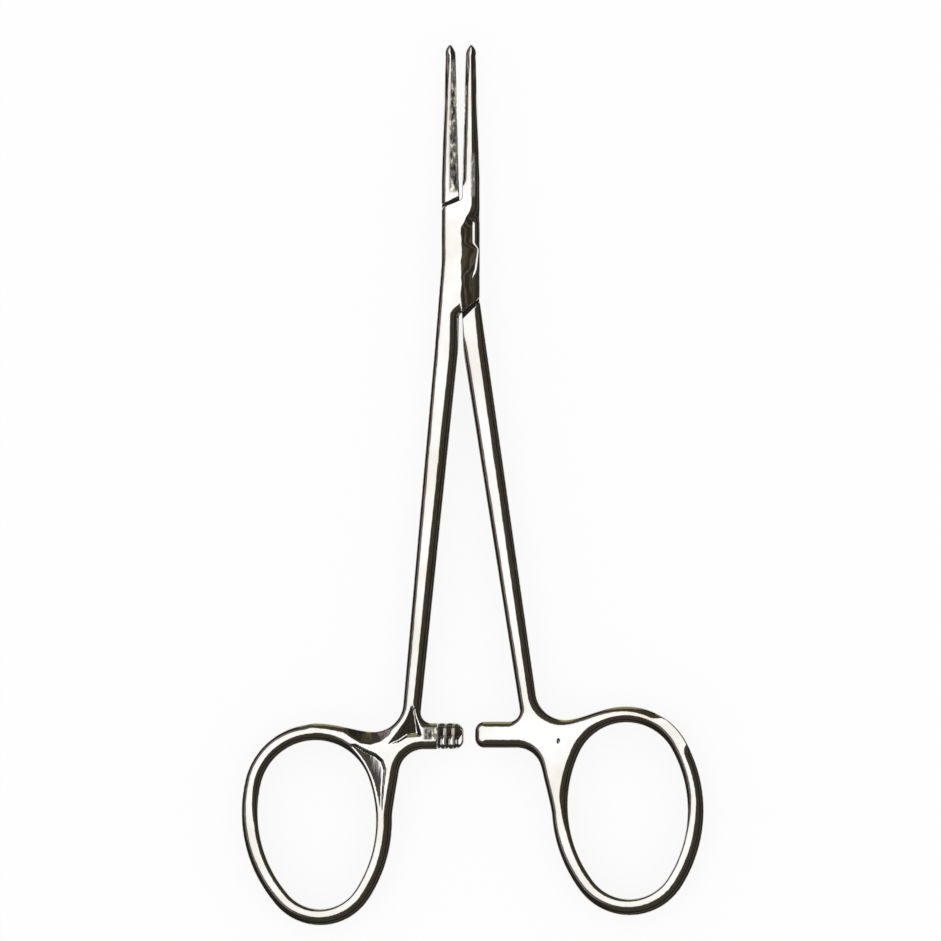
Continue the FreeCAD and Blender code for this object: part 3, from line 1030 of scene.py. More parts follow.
    def jaw_points(self) -> list[Corner]:
        """The jaw's nose.

        Returns:
            Its points, from the gripping face over the tip to the outer side.
        """
        s = -self.side.value
        start = LAYOUT.jaw_reach - self.nose_length
        inner = (s * LAYOUT.face_across(start), start)
        tip = (s * (LAYOUT.face_across(LAYOUT.jaw_reach) + self.jaw_tip_width / 2), LAYOUT.jaw_reach)
        outer = (s * (LAYOUT.face_across(start) + self.jaw_tip_width), start)
        face_side, outer_side = self.nose_bulge
        nose = self._nose(inner, tip, face_side) + self._nose(tip, outer, outer_side)[1:]
        return [(x, y, 0.0) for x, y in nose]

    def _nose(self, start: Point, end: Point, radius: float) -> list[Point]:
        """One flank of the nose, bulging away from the jaw."""
        if self.side is Side.LEFT:
            return Outline.bulge(start, end, radius)
        return Outline.bulge(end, start, radius)[::-1]

    def plan(self, block: Block) -> np.ndarray:
        """Distance in plan to the half's outline, with the ring's opening cut out.

        Args:
            block: the sample points.

        Returns:
            One value for each place in plan.
        """
        return np.maximum(self.outside(block, self.solid_plan(block)), -self.opening(block))

    def opening(self, block: Block) -> np.ndarray:
        """Distance in plan to the ring's opening."""
        return block.distance(self.ring.outline(-self.band_width / 2))

    def outside(self, block: Block, solid: np.ndarray) -> np.ndarray:
        """Adds the ring's outer oval in plan, with a fillet that fades out below the web.

        Args:
            block: the sample points.
            solid: distance in plan to the half without its ring.

        Returns:
            Distance in plan to both, the ring's opening filled.
        """
        ring = block.distance(self.ring.outline(self.band_width / 2))
        reach = np.interp(block.y, self.fillet_fade, (self.faded_blend, self.blend))
        return soft_min(solid, ring, reach)

    def solid_plan(self, block: Block) -> np.ndarray:
        """Distance in plan to the half without its ring."""
        raise NotImplementedError

    def bevelled_plan(self, block: Block) -> np.ndarray:
        """Distance in plan to the edges that are polished round."""
        raise NotImplementedError

    def crowned(self, block: Block, plan: np.ndarray) -> np.ndarray:
        """Gives the outline its thickness, with faces that fall away towards the edges.

        Args:
            block: the sample points.
            plan: distance in plan to the outline.

        Returns:
            The field of the solid.
        """
        drop = self.fall_off(block, self.bevelled_plan(block))
        opening = self.opening(block)
        width = np.interp(block.y, self.inner_taper, self.inner_crown)
        drop = np.maximum(drop, self.arc_drop(width - opening, width) * (opening < width))
        for hollow in self.hollows:
            drop = hollow.sunk(block, drop)
        height = LAYOUT.half_height(block.y) - drop
        faces = np.abs(block.z - LAYOUT.middle) - height[:, :, None]
        return soft_max(faces, plan[:, :, None], self.arris)

    def fall_off(self, block: Block, plan: np.ndarray) -> np.ndarray:
        """How far the face lies below its middle height, towards the edges."""
        return self.arc_drop(self.crown + plan, self.crown)

    def arc_drop(self, inset: np.ndarray, width: float | np.ndarray) -> np.ndarray:
        """Drop of a face that curves down towards an edge.

        Args:
            inset: how far past the start of the curve.
            width: width of the curve.

        Returns:
            The drop at each place.
        """
        radius = width / math.sin(math.radians(self.crown_tilt))
        run = np.clip(inset, 0.0, width)
        return radius - np.sqrt(radius ** 2 - run ** 2)

    def tooth_wave(self, along: np.ndarray, rise: np.ndarray) -> np.ndarray:
        """Height of the saw teeth over their roots.

        Args:
            along: distance from the last tooth's root towards the bar's end.
            rise: distance from the bar's middle line towards the jaws.

        Returns:
            The height at each place in plan.
        """
        start, end = (self.bar_width * share for share in self.tooth_widening)
        length = self.tooth_share + (1 - self.tooth_share) * ease(rise, start, end)
        wave = self.tooth_height * np.clip(1 - np.mod(along / self.tooth_pitch, 1.0) / length, 0.0, 1.0)
        toothed = (along > 0.0) & (along < self.teeth * self.tooth_pitch)
        return np.where(toothed, wave, 0.0)

    def step_fall(self, rise: np.ndarray, plan: np.ndarray) -> np.ndarray:
        """How far the bar's stepped face falls away towards its edges.

        Args:
            rise: distance from the bar's middle line towards the jaws.
            plan: distance in plan to the half's outline.

        Returns:
            The drop at each place in plan.
        """
        bevel, tilt = self.step_bevel
        foot, end = self.step_rounding
        edge = self.bar_width / 2
        top = np.clip(rise - edge + bevel, 0.0, None) * math.tan(math.radians(tilt))
        sides = np.maximum(top, self.arc_drop(foot - edge - rise, foot))
        return np.maximum(sides, self.arc_drop(end + plan, end))

    def cut_ratchet(self, block: Block, plan: np.ndarray, solid: np.ndarray) -> np.ndarray:
        """Halves the bar's thickness and leaves the saw teeth on it.

        Args:
            block: the sample points.
            plan: distance in plan to the half's outline.
            solid: the field so far.

        Returns:
            The field with the teeth.
        """
        s = self.side.value
        root = self.bar_end + s * (self.tooth_margin + self.teeth * self.tooth_pitch)
        along = -s * (block.x - root)
        rise = block.y + self.bar_drop + self.bar_width / 2
        level = -self.tooth_clearance / 2 - self.tooth_height + self.tooth_wave(along, rise)
        level = level - self.step_fall(rise, plan)
        height = -s * (block.z - LAYOUT.middle)
        below = -block.y - self.bar_drop + self.bar_width
        cut = np.minimum(np.minimum(along, below)[:, :, None], height - level[:, :, None])
        return soft_max(solid, cut, self.cut_edge)

    def grooved(self, block: Block, solid: np.ndarray, across: np.ndarray) -> np.ndarray:
        """Cuts the gripping face's cross grooves, which end below its rounded edges.

        Args:
            block: the sample points.
            solid: the field so far.
            across: distance from the middle line, towards the jaw.

        Returns:
            The field with the grooves.
        """
        along = block.y - self.serration_start
        last = LAYOUT.jaw_reach - self.nose_length - self.serration_start
        wave = 1 - np.abs(2 * np.mod(along / self.serration_pitch, 1.0) - 1)
        depth = np.where((along > 0) & (along < last), self.serration_depth * wave, 0.0)
        face = np.where(along > 0, LAYOUT.face_across(1.0) * block.y + depth - across, -1.0)
        reach = LAYOUT.half_height(block.y) - self.groove_margin
        inner = np.abs(block.z - LAYOUT.middle) - reach[:, :, None]
        return np.maximum(solid, np.minimum(face[:, :, None], -inner))

    def form(self, block: Block) -> np.ndarray:
        """The half's whole field; each half has its own."""
        raise NotImplementedError

    def inside(self, places: np.ndarray) -> np.ndarray:
        """How far each place belongs to the lock's inside, rough and painted near-black as shade, from 0 to 1.
        """
        raise NotImplementedError

    def wear_and_glints(self, places: np.ndarray) -> np.ndarray:
        """How far each place belongs to the wear flecks and painted glints, from 0 to 1."""
        raise NotImplementedError

    def build(self, steel: bpy.types.Material) -> bpy.types.Object:
        """Makes the half's object, in place of its plain solid.

        Args:
            steel: the finish.

        Returns:
            The object, riding on its body.
        """
        block = Block(self.across, self.along, UPWARD)
        # The first mark paints near-black shade inside the lock; the second paints wear flecks and glints
        marks = {"rough_and_shaded": self.inside, "wear_and_glints": self.wear_and_glints}
        mesh = Skin(block, self.form(block)).mesh(self.node, marks)
        mesh.materials.append(steel)
        piece = bpy.data.objects.new(f"{self.node}_polished", mesh)
        bpy.context.scene.collection.objects.link(piece)
        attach(piece, self.body)
        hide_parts(self.node, *self.flush_nodes)
        LOG.info("%s: %d faces", self.node, len(mesh.polygons))
        return piece


@dataclass
class BoxHalf(Half):
    """The half with the slotted box: right jaw, both cheeks, left shank and left ring.

    Attributes:
        head_corner: fillets of the cheeks' heads, at the box's edge and at the crotch.
        foot_corner: fillets of the cheeks' feet, likewise.
        wall_clearance: gap between the slot's walls and the tang's.
        disc_clearance: gap between the slot's round part and the tang's disc.
        slot_flank: degrees from straight across to the corner where the slot opens sideways.
        slot_overrun: how far the slot runs on past the cheeks.
        slot_shade: how far the dark inside reaches past the slot's height and past the cheeks,
            and how far it stays in from the box's edge.
        pin_reach: from the middle plane to the pin's ends, which lie inside the cheeks.
        flank_lean: the ground flank's tilt at its start, and how steep it would end.
        flank_line: place along Y, and where across the flank starts.
        crease_line: place along Y, and where across the flank ends in its crease.
        land_width: place along Y, and width of the level land beyond the crease; below zero the
            edge starts before the crease.
        flank_foot: between which places along Y the flank sets in.
        flank_head: the same, negative, where it ends.
        flank_soft: rounding of the flank's start.
        narrowest_flank: least width that the flank's slope is fitted to.
        narrowest_edge: least width of the edge's curve.
    """

    box_waist: float = 0.85
    waist_round: float = 6.0
    head_corner: Point = (0.8, 0.5)
    foot_corner: Point = (0.4, 0.5)
    wall_clearance: float = 0.06
    disc_clearance: float = 0.18
    slot_flank: float = 50.0
    slot_overrun: float = 2.0
    slot_shade: Corner = (0.04, 1.5, 0.1)
    pin_radius: float = 0.85
    pin_reach: float = 1.0
    flank_lean: Point = (10.5, 20.0)
    flank_line: tuple[Point, ...] = ((-8.5, -0.3), (-8.0, 0.0), (4.0, 0.04), (6.4, 1.25), (8.0, 1.6))
    crease_line: tuple[Point, ...] = (
        (-8.5, 1.75), (-7.2, 1.75), (-3.0, 1.58), (-1.84, 1.98), (0.99, 2.4), (1.84, 1.66), (4.8, 1.66),
        (6.4, 1.5))
    land_width: tuple[Point, ...] = (
        (-8.5, -0.2), (-3.3, -0.15), (-2.4, 0.16), (0.9, 0.16), (1.9, 0.14), (4.7, 0.13), (5.1, -0.3),
        (6.4, -0.25))
    flank_foot: Point = (-9.0, -7.6)
    flank_head: Point = (-7.4, -6.0)
    flank_soft: float = 0.08
    narrowest_flank: float = 0.8
    narrowest_edge: float = 0.15

    def fall_off(self, block: Block, plan: np.ndarray) -> np.ndarray:
        """The crowned face, with the cheek's ground flank right of the middle line.

        Args:
            block: the sample points.
            plan: distance in plan to the polished edges.

        Returns:
            The drop at each place in plan.
        """
        plain = super().fall_off(block, plan)
        along = np.broadcast_to(block.y, plan.shape)
        share = ease(along, *self.flank_foot) * ease(-along, *self.flank_head) * (block.x > 0.0)
        return plain + share * (self.ground_flank(block, along) - plain)

    def ground_flank(self, block: Block, along: np.ndarray) -> np.ndarray:
        """The ground flank, the level land beyond its crease, and the curve down to the edge.

        Args:
            block: the sample points.
            along: place along Y for each place in plan.

        Returns:
            The drop at each place in plan.
        """
        start = self._line(along, self.flank_line) + self._ragged(along)
        crease = self._line(along, self.crease_line)
        land = self._line(along, self.land_width)
        lean, steeper = (math.tan(math.radians(angle)) for angle in self.flank_lean)
        width = self.crease_line[0][1]
        spread = width / np.maximum(crease - start, self.narrowest_flank)
        inset = np.minimum(block.x, crease) - start
        run = soft_max(inset, np.zeros_like(inset), self.flank_soft) * spread
        slope = run * lean + run * run * (steeper - lean) / (2 * width)
        edge = np.clip(self.box_half_width - crease - land, self.narrowest_edge, None)
        beyond = block.x > crease
        flank = slope + self.arc_drop(block.x - crease - land, edge) * beyond
        return np.maximum(flank - self.arc_drop(-land, edge) * beyond, 0.0)

    @staticmethod
    def _line(along: np.ndarray, points: tuple[Point, ...]) -> np.ndarray:
        """A value that changes evenly from point to point along the half.

        Args:
            along: places along Y.
            points: place along Y and value, in rising order.

        Returns:
            The value at each place.
        """
        return np.interp(along, [p[0] for p in points], [p[1] for p in points])

    @staticmethod
    def _ragged(along: np.ndarray) -> np.ndarray:
        """The unevenness that hand polishing leaves along the flank's start."""
        return sum(depth * np.sin(along * rate + shift) for depth, rate, shift in RAGGED)

    def body_corners(self) -> list[Corner]:
        """The box up to the head of its cheeks, from the waist on."""
        outer, crotch = self.head_corner
        return [
            (-self.box_half_width, -self.box_waist, self.waist_round),
            (-self.box_half_width, self.cheek_head_outer, outer),
            (LAYOUT.face_across(self.cheek_head_inner), self.cheek_head_inner, crotch),
        ]

    def foot_corners(self) -> list[Corner]:
        """The jaw's root, and the foot of the cheeks."""
        outer, crotch = self.foot_corner
        return [
            (self.box_half_width, self.jaw_root_rise, self.jaw_root_round),
            (self.box_half_width, -self.cheek_foot_outer, outer),
            (-self.crotch_gap / 2, -self.cheek_foot_inner, crotch),
        ]

    def joined(self, head: list[Corner]) -> np.ndarray:
        """Outline of the half without its ring.

        Args:
            head: corners of the box up to the gripping face.

        Returns:
            The outline's points, one row each.
        """
        corners = head + self.jaw_points() + self.foot_corners() + self.arm_corners()[::-1]
        return Outline.rounded(corners)

    def solid_plan(self, block: Block) -> np.ndarray:
        """Distance in plan to jaw, box, shank and bar."""
        return block.distance(self.joined(self.body_corners()))

    def bevelled_plan(self, block: Block) -> np.ndarray:
        """Distance in plan to the polished edges; the cheeks' heads stay square."""
        head = [
            (-self.box_half_width, -self.box_waist, self.waist_round),
            (-self.box_half_width, self.jaw_root_rise, 0.0),
            (LAYOUT.face_across(self.jaw_root_rise), self.jaw_root_rise, 0.0),
        ]
        return self.outside(block, block.distance(self.joined(head)))

    def inside(self, places: np.ndarray) -> np.ndarray:
        """Marks the slot that the tang turns in, which is left rough and painted near-black as shade.

        Args:
            places: places in millimetres, one row each.

        Returns:
            True in the slot.
        """
        x, y, z = places.T
        over, past, skin = self.slot_shade
        near = np.abs(z - LAYOUT.middle) < self.slot_height / 2 + over
        reach = (y < self.cheek_head_inner + past) & (y > -self.cheek_foot_inner - past)
        return near & reach & (np.abs(x) < self.box_half_width - skin)

    def wear_and_glints(self, places: np.ndarray) -> np.ndarray:
        """Marks the jaw root's wear specks and painted glints, and the bar's painted gold reflection.

        Args:
            places: places in millimetres, one row each.

        Returns:
            How strongly each place carries them, from 0 to 1.
        """
        x, y, z = places.T
        return np.maximum(JAW_SPECKS.share(x, y), BAR_GOLD_REFLECTION.share(x, y)) * (z > LAYOUT.middle)

    def slot_plan(self, block: Block) -> np.ndarray:
        """Distance in plan to the slot that the tang turns in.

        Args:
            block: the sample points.

        Returns:
            One value for each place in plan.
        """
        wall = self.tang_disc + self.disc_clearance
        flank = math.radians(self.slot_flank)
        across = wall * math.cos(flank)
        rise = wall * math.sin(flank)
        reach = 2 * self.box_half_width
        head = self.cheek_head_inner + self.slot_overrun
        foot = self.cheek_foot_inner + self.slot_overrun
        points = [
            (self.wall_clearance + LAYOUT.face_across(head), head),
            (self.wall_clearance, wall),
            (across, rise),
            (reach, rise),
            (reach, -foot),
            (-self.wall_clearance - LAYOUT.face_across(foot), -foot),
            (-self.wall_clearance, -wall),
            (-across, -rise),
            (-reach, -rise),
            (-reach, head),
        ]
        return block.distance(np.array(points))

    def form(self, block: Block) -> np.ndarray:
        """Crowned outline, less the slot, the serrations and the ratchet's step.

        Args:
            block: the sample points.

        Returns:
            The field of the half.
        """
        plan = self.plan(block)
        solid = self.crowned(block, plan)
        level = np.abs(block.z - LAYOUT.middle)
        slot = np.maximum(self.slot_plan(block)[:, :, None], level - self.slot_height / 2)
        solid = soft_max(solid, -slot, self.cut_edge)
        solid = self.grooved(block, solid, block.x)
        from_axis = np.hypot(block.x, block.y)[:, :, None]
        pin = np.maximum(from_axis - self.pin_radius, level - self.pin_reach)
        return self.cut_ratchet(block, plan, np.minimum(solid, pin))


@dataclass
class TangHalf(Half):
    """The half with the thin tang: left jaw, tang through the box, right shank and right ring.

    Attributes:
        head_gap: gap between the cheeks' heads and the jaw.
        foot_gap: gap between the cheeks' feet and the shank.
        joint_round: fillet of the jaw's and the shank's ends at the cheeks.
        bevel_end: how near the pivot the polished edges run on.
        bevel_inner: how far across they run there, of the jaw and of the shank.
        tang_reach: how far the tang's ears reach across.
        tang_stop: how far from the pivot the ears start.
        tang_play: gap between the tang and the slot's floor.
        tang_edge: rounding of the tang's edges.
        tang_root: how far the tang runs into jaw and shank.
        tang_skin: how far inside the box's edge it stays.
        head_ramp: where the upper ear turns outwards and ends, below the cheeks' heads.
        foot_ramp: where the lower ear turns outwards, above the cheeks' feet.
        rubbed: place and reach of the flat on the ring's shoulder.
        rubbed_band: between which distances to the band's middle the flat sets in.
        wear_glint_line: ends of the line that the jaw's strip of wear flecks and painted glints follows, along
            and across.
        wear_glint_fade: where the strip sets in and is full, from that line.
        wear_glint_gap: where it ends and is full, from the gripping face.
        wear_glint_along: places along Y where it sets in, is full, is still full, and ends.
    """

    head_gap: float = 0.35
    foot_gap: float = 0.5
    joint_round: float = 0.15
    bevel_end: float = 3.0
    bevel_inner: Point = (2.0, -1.0)
    tang_reach: float = 2.35
    tang_stop: float = 1.1
    tang_play: float = 0.05
    tang_edge: float = 0.06
    tang_root: float = 1.0
    tang_skin: float = 0.1
    head_ramp: Point = (1.3, 0.7)
    foot_ramp: float = 0.8
    hole_radius: float = 0.89
    rubbed: Corner = (30.6, -67.6, 4.2)
    rubbed_band: Point = (-0.5, 0.0)
    wear_glint_line: tuple[Point, Point] = ((20.0, 28.0), (-1.7, -1.35))
    wear_glint_fade: Point = (-0.12, 0.3)
    wear_glint_gap: Point = (0.1, 0.4)
    wear_glint_along: Span = (8.8, 9.6, 26.6, 28.2)

    def solid_plan(self, block: Block) -> np.ndarray:
        """Distance in plan to the jaw, and to the shank with its bar.

        Args:
            block: the sample points.

        Returns:
            One value for each place in plan.
        """
        head = self.cheek_head_inner + self.head_gap
        jaw = self.jaw_points() + [
            (-self.box_half_width, self.jaw_root_rise, self.jaw_root_round),
            (-self.box_half_width, self.cheek_head_outer + self.head_gap, self.joint_round),
            (-LAYOUT.face_across(head), head, self.joint_round),
        ]
        shank = [
            (self.box_half_width, -self.cheek_foot_outer - self.foot_gap, self.joint_round),
            *self.arm_corners(),
            (self.crotch_gap / 2, -self.cheek_foot_inner - self.foot_gap, self.joint_round),
        ]
        return self._both(block, jaw, shank)

    @staticmethod
    def _both(block: Block, jaw: list[Corner], shank: list[Corner]) -> np.ndarray:
        """Distance in plan to the nearer of two outlines."""
        return np.minimum(block.distance(Outline.rounded(jaw)), block.distance(Outline.rounded(shank)))

    def fall_off(self, block: Block, plan: np.ndarray) -> np.ndarray:
        """The crowned face, rubbed flat on the ring's shoulder.

        Args:
            block: the sample points.
            plan: distance in plan to the polished edges.

        Returns:
            The drop at each place in plan.
        """
        x, y, reach = self.rubbed
        near = ease(-np.hypot(block.x - x, block.y - y), -reach, -reach / 2)
        outer = ease(block.distance(self.ring.outline(0.0)), *self.rubbed_band)
        return super().fall_off(block, plan) * (1 - near * outer)

    def bevelled_plan(self, block: Block) -> np.ndarray:
        """Distance in plan to the polished edges, which run on past the lock's square joints.

        Args:
            block: the sample points.

        Returns:
            One value for each place in plan.
        """
        jaw_inner, shank_inner = self.bevel_inner
        jaw = self.jaw_points() + [
            (-self.box_half_width, self.jaw_root_rise, self.jaw_root_round),
            (-self.box_half_width, self.bevel_end, 0.0),
            (jaw_inner, self.bevel_end, 0.0),
            (jaw_inner, self.cheek_head_inner, 0.0),
            (-LAYOUT.face_across(self.jaw_root_rise), self.jaw_root_rise, 0.0),
        ]
        shank = [
            (self.box_half_width, -self.bevel_end, 0.0),
            *self.arm_corners(),
            (shank_inner, -self.cheek_foot_inner, 0.0),
            (shank_inner, -self.bevel_end, 0.0),
        ]
        return self.outside(block, self._both(block, jaw, shank))

    def tang_plan(self, block: Block) -> np.ndarray:
        """Distance in plan to the tang: its disc, and an ear towards the jaw and one to the shank.

        Args:
            block: the sample points.

        Returns:
            One value for each place in plan.
        """
        lean = math.radians(LAYOUT.face_lean)
        head = self.cheek_head_inner + self.tang_root
        foot = self.cheek_foot_inner + self.tang_root
        flush = self.box_half_width - self.tang_skin
        turn, end = self.head_ramp
        right = Outline.arc((0.0, 0.0), self.tang_disc, math.pi / 2 + lean, 0.0)
        left = Outline.arc((0.0, 0.0), self.tang_disc, lean - math.pi / 2, -math.pi)
        points = [
            (-LAYOUT.face_across(head), head),
            *right,
            (self.tang_reach, -self.tang_stop),
            (self.tang_reach, -self.cheek_foot_outer + self.foot_ramp),
            (flush, -self.cheek_foot_outer),
            (flush, -self.cheek_foot_outer - self.foot_gap - self.tang_root),
            (LAYOUT.face_across(foot), -foot),
            *left,
            (-self.tang_reach, self.tang_stop),
            (-self.tang_reach, self.cheek_head_outer - turn),
            (-flush, self.cheek_head_outer - end),
            (-flush, self.cheek_head_outer + self.head_gap + self.tang_root),
        ]
        return block.distance(np.array(points))

    def inside(self, places: np.ndarray) -> np.ndarray:
        """Marks the tang, which is left rough and painted near-black as shade.

        Args:
            places: places in millimetres, one row each.

        Returns:
            True on the tang.
        """
        _, y, z = places.T
        near = np.abs(z - LAYOUT.middle) < self.slot_height / 2
        below_jaw = y < self.cheek_head_inner + self.head_gap
        above_shank = y > -self.cheek_foot_inner - self.foot_gap
        return near & below_jaw & above_shank

    def wear_and_glints(self, places: np.ndarray) -> np.ndarray:
        """Marks the strip of wear flecks and painted glints along the jaw's gripping edge.

        Args:
            places: places in millimetres, one row each.

        Returns:
            How strongly each place carries them, from 0 to 1.
        """
        x, y, z = places.T
        from_line = x - np.interp(y, *self.wear_glint_line)
        from_face = -LAYOUT.face_across(1.0) * y - x
        strip = ease(from_line, *self.wear_glint_fade) * ease(from_face, *self.wear_glint_gap)
        return strip * faded(y, *self.wear_glint_along) * (z > LAYOUT.middle)

    def form(self, block: Block) -> np.ndarray:
        """Crowned outline and the tang, less the hole, the serrations and the ratchet's step.

        Args:
            block: the sample points.

        Returns:
            The field of the half.
        """
        plan = self.plan(block)
        solid = self.crowned(block, plan)
        thin = np.abs(block.z - LAYOUT.middle) - self.slot_height / 2 + self.tang_play
        thin = np.broadcast_to(thin, solid.shape)
        tang = soft_max(thin, self.tang_plan(block)[:, :, None], self.tang_edge)
        solid = np.minimum(solid, tang)
        hole = self.hole_radius - np.hypot(block.x, block.y)
        solid = np.maximum(solid, hole[:, :, None])
        solid = self.grooved(block, solid, -block.x)
        return self.cut_ratchet(block, plan, solid)


SHARP_SIDE: tuple[Stop, ...] = (
    (0.0, 0.03, 0.028, 0.025), (0.12, 0.02, 0.018, 0.016), (0.18, 0.13, 0.11, 0.085),
    (0.24, 0.03, 0.026, 0.022), (0.46, 0.02, 0.017, 0.014), (0.53, 0.10, 0.085, 0.055),
    (0.58, 0.035, 0.028, 0.02), (0.655, 0.03, 0.025, 0.02), (0.68, 0.16, 0.13, 0.095),
    (0.70, 0.035, 0.028, 0.02), (0.74, 0.03, 0.026, 0.02), (0.775, 0.085, 0.078, 0.045),
    (0.81, 0.07, 0.062, 0.042), (0.83, 0.045, 0.042, 0.04), (0.85, 0.3, 0.27, 0.26),
    (0.858, 1.25, 1.25, 1.25), (1.0, 1.3, 1.3, 1.3))
FEATHERED_SIDE: tuple[Stop, ...] = (
    (0.0, 0.03, 0.028, 0.025), (0.30, 0.02, 0.018, 0.016), (0.68, 0.025, 0.022, 0.02),
    (0.73, 0.07, 0.06, 0.055), (0.765, 0.38, 0.31, 0.30), (0.80, 0.10, 0.085, 0.08),
    (0.835, 0.10, 0.09, 0.085), (0.865, 1.2, 1.2, 1.2), (1.0, 1.3, 1.3, 1.3))


def towards(azimuth: float, zenith: float) -> Corner:
    """Unit way to a place on the dome.

    Args:
        azimuth: turn round the vertical, in radians.
        zenith: angle from straight overhead, in radians.

    Returns:
        The way along X, Y and Z.
    """
    flat = math.sin(zenith)
    return flat * math.cos(azimuth), flat * math.sin(azimuth), math.cos(zenith)


@dataclass(frozen=True)
class Patch:
    """A round patch of colour on the dome.

    Attributes:
        azimuth: turn of its middle round the vertical, in degrees.
        zenith: angle of its middle from straight overhead, in degrees.
        reach: its radius, in degrees.
        colour: its colour.
        strength: share of its colour in its core.
        core: radius of the full part, as a share of its reach.
    """

    azimuth: float
    zenith: float
    reach: float
    colour: Corner
    strength: float = 1.0
    core: float = 0.6

    def mask(self, board: NodeBoard, direction: Socket) -> Socket:
        """Share of the patch's colour in each direction.

        Args:
            board: the material's nodes.
            direction: the direction.

        Returns:
            The share.
        """
        middle = Vector(towards(math.radians(self.azimuth), math.radians(self.zenith)))
        rim, full = (math.cos(math.radians(angle)) for angle in (self.reach, self.reach * self.core))
        return board.spread(board.nearness(direction, middle), 0.0, self.strength, rim, full)


GOLD_PATCH = Patch(azimuth=90.0, zenith=75.0, reach=17.0, colour=(0.46, 0.41, 0.20), strength=0.7)


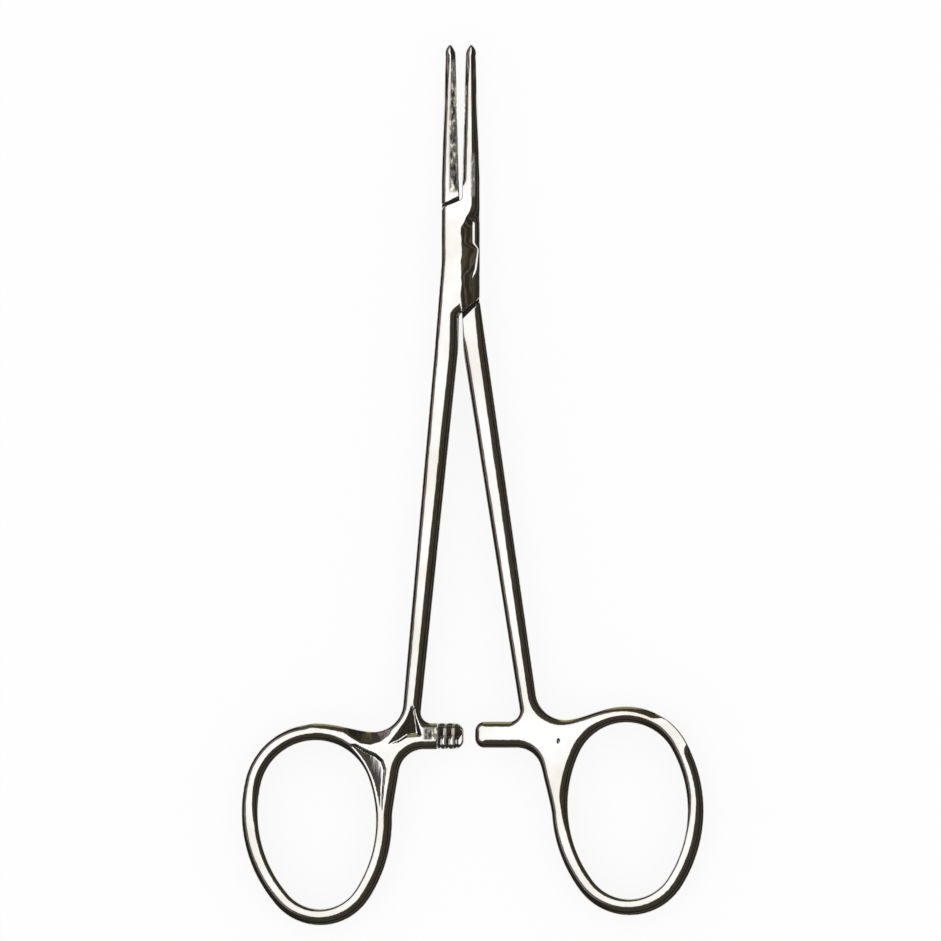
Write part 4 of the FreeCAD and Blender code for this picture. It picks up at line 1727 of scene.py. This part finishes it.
@dataclass
class Studio:
    """Table, light dome and camera of the catalogue picture.

    Attributes:
        image_size: width and height of the picture in pixels.
        pivot_pixel: where the pivot lies in it, from the left and from the top.
        pixel: size of a pixel on the forceps.
        camera_height: height of the camera over the table, in metres.
        sensor: width of the camera's sensor.
        table_half: half of the table's width, in metres.
        dome_radius: radius of the dome, in metres.
        dome_rings: rows of the dome's faces.
        dome_sectors: faces in each row.
        sight: how far the camera sees, in metres.
        light_lean: how far the light's middle leans along X and Y.
        side_change: how far to the left the sharp side passes into the feathered one.
        sky_colour: colour of the even light.
        sky_strength: its strength.
        card_colour: colour of the table.
        card_glow: share of its glow where it is seen or mirrored.
    """

    image_size: int = 941
    pivot_pixel: Point = (460.7, 256.0)
    pixel: float = 0.14188
    camera_height: float = 2.0
    sensor: float = 36.0
    table_half: float = 5.0
    dome_radius: float = 4.8
    dome_rings: int = 48
    dome_sectors: int = 96
    sight: float = 20.0
    light_lean: Point = (-0.32, 0.2)
    side_change: Point = (-0.1, -0.35)
    sky_colour: Colour = (1.0, 1.0, 1.0, 1.0)
    sky_strength: float = 1.0
    card_colour: Colour = (0.93, 0.93, 0.93, 1.0)
    card_glow: float = 0.87

    def build(self) -> None:
        """Sets up the table, the light and the camera."""
        self.set_world()
        self.add_table()
        self.add_dome()
        self.add_camera()
        bpy.context.scene.view_settings.view_transform = "Standard"

    def set_world(self) -> None:
        """Lights the table evenly from all sides."""
        world = bpy.data.worlds.new("studio")
        world.use_nodes = True
        shade = world.node_tree.nodes["Background"]
        shade.inputs["Color"].default_value = self.sky_colour
        shade.inputs["Strength"].default_value = self.sky_strength
        bpy.context.scene.world = world

    def add_table(self) -> None:
        """Adds the pale table that the forceps lie on."""
        size = self.table_half
        corners = [(-size, -size, 0.0), (size, -size, 0.0), (size, size, 0.0), (-size, size, 0.0)]
        mesh = bpy.data.meshes.new("table")
        mesh.from_pydata(corners, [], [(0, 1, 2, 3)])
        table = bpy.data.objects.new("table", mesh)
        bpy.context.scene.collection.objects.link(table)
        mesh.materials.append(self.table_material())

    def table_material(self) -> bpy.types.Material:
        """White card that keeps the forceps' soft shadow; seen or mirrored, it also glows.

        Returns:
            The material.
        """
        board = NodeBoard("white_card")
        board.nodes.remove(board.nodes["Principled BSDF"])
        diffuse = board.nodes.new("ShaderNodeBsdfDiffuse")
        diffuse.inputs["Color"].default_value = self.card_colour
        glow = board.nodes.new("ShaderNodeEmission")
        rays = board.nodes.new("ShaderNodeLightPath").outputs
        seen = board.arithmetic("ADD", rays["Is Camera Ray"], rays["Is Glossy Ray"])
        all_seen = board.arithmetic("ADD", seen, rays["Is Transmission Ray"], clamp=True)
        mix = board.nodes.new("ShaderNodeMixShader")
        board.feed(mix.inputs["Fac"], board.arithmetic("MULTIPLY", all_seen, self.card_glow))
        board.feed(mix.inputs[1], diffuse.outputs[0])
        board.feed(mix.inputs[2], glow.outputs[0])
        board.feed(board.nodes["Material Output"].inputs["Surface"], mix.outputs[0])
        return board.material

    def add_dome(self) -> None:
        """Adds the dome of light and dark screens that the steel mirrors."""
        rings = self.dome_rings
        sectors = self.dome_sectors
        ways = []
        for ring in range(1, rings + 1):
            zenith = ring / rings * math.pi / 2
            ways += [towards(sector / sectors * 2 * math.pi, zenith) for sector in range(sectors)]
        points = [tuple(self.dome_radius * c for c in way) for way in ways]
        top = len(points)
        points.append((0.0, 0.0, self.dome_radius))
        faces = [(top, s, (s + 1) % sectors) for s in range(sectors)]
        for ring in range(rings - 1):
            for sector in range(sectors):
                a = ring * sectors + sector
                b = ring * sectors + (sector + 1) % sectors
                faces.append((a, a + sectors, b + sectors, b))
        mesh = bpy.data.meshes.new("light_dome")
        mesh.from_pydata(points, [], faces)
        mesh.materials.append(self.dome_material())
        dome = bpy.data.objects.new("light_dome", mesh)
        bpy.context.scene.collection.objects.link(dome)
        dome.visible_camera = False
        dome.visible_diffuse = False
        dome.visible_shadow = False

    def dome_material(self) -> bpy.types.Material:
        """A broad soft light overhead, leaning to one side, with dark screens round it.

        Returns:
            The material.
        """
        board = NodeBoard("light_and_screens")
        board.nodes.remove(board.nodes["Principled BSDF"])
        way = board.nodes.new("ShaderNodeVectorMath")
        way.operation = "NORMALIZE"
        board.feed(way.inputs[0], board.place())
        direction = way.outputs["Vector"]
        light = board.nearness(direction, Vector((*self.light_lean, 1.0)).normalized())
        axes = board.nodes.new("ShaderNodeSeparateXYZ")
        board.feed(axes.inputs["Vector"], direction)
        side = board.spread(axes.outputs["X"], 0.0, 1.0, *self.side_change)
        both = board.mixed(side, board.ramp(light, SHARP_SIDE), board.ramp(light, FEATHERED_SIDE))
        gilded = board.mixed(GOLD_PATCH.mask(board, direction), both, (*GOLD_PATCH.colour, 1.0))
        glow = board.nodes.new("ShaderNodeEmission")
        board.feed(glow.inputs["Color"], gilded)
        board.feed(board.nodes["Material Output"].inputs["Surface"], glow.outputs[0])
        return board.material

    def add_camera(self) -> None:
        """Looks straight down, framed so that the pivot lies where the photograph has it."""
        middle = self.image_size / 2
        across = LAYOUT.pivot_across + (middle - self.pivot_pixel[0]) * self.pixel
        along = LAYOUT.pivot_along - (middle - self.pivot_pixel[1]) * self.pixel
        camera = bpy.data.cameras.new("camera")
        camera.sensor_width = self.sensor
        distance = self.camera_height - LAYOUT.thickness * MILLIMETRE
        camera.lens = self.sensor * distance / (self.image_size * self.pixel * MILLIMETRE)
        camera.clip_end = self.sight
        eye = bpy.data.objects.new("camera", camera)
        eye.location = (across * MILLIMETRE, along * MILLIMETRE, self.camera_height)
        bpy.context.scene.collection.objects.link(eye)
        bpy.context.scene.camera = eye


def make_box_half() -> BoxHalf:
    """Gives the box half its sizes.

    Returns:
        The half, not yet built.
    """
    return BoxHalf(
        node="box_half", body="box_body", side=Side.LEFT,
        ring=Oval(head=(-20.6, -76.7), head_radius=9.1, foot=(-19.95, -86.75), foot_radius=7.1),
        shank_lean=5.46, shank_offset=0.77, bar_end=0.47, bar_drop=66.26, shoulder_drop=67.5,
        flank_across=8.1, flank_slope=2.7,
        across=((-31.8, 0.225), (-17.0, 0.165), (-3.2, 0.105), (3.3, 0.1)),
        along=((-95.6, 0.225), (-81.0, 0.168), (-62.0, 0.5), (-12.0, 0.155), (30.9, 0.14)),
        hollows=(ARMPIT_HOLLOW, SHANK_HOLLOW, RING_HOLLOW), flush_nodes=("pivot_pin",))


def make_tang_half() -> TangHalf:
    """Gives the tang half its sizes.

    Returns:
        The half, not yet built.
    """
    return TangHalf(
        node="tang_half", body="tang_body", side=Side.RIGHT,
        ring=Oval(head=(23.52, -73.56), head_radius=8.5, foot=(23.95, -84.8), foot_radius=7.63),
        shank_lean=8.5, shank_offset=0.06, bar_end=2.03, bar_drop=66.05, shoulder_drop=65.8,
        flank_across=10.6, flank_slope=3.9, hollows=(WEB_PIT,), inner_taper=(-82.2, -77.0),
        across=((-3.3, 0.1), (3.2, 0.14), (17.0, 0.2), (35.2, 0.2)),
        along=((-94.2, 0.205), (-72.0, 0.155), (-62.0, 0.45), (-12.0, 0.14), (30.9, 0.14)))


def main() -> None:
    """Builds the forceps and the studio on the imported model."""
    logging.basicConfig(level=logging.INFO)
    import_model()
    steel = Steel().material()
    for half in (make_box_half(), make_tang_half()):
        half.build(steel)
    Studio().build()


if __name__ == "__main__":
    main()
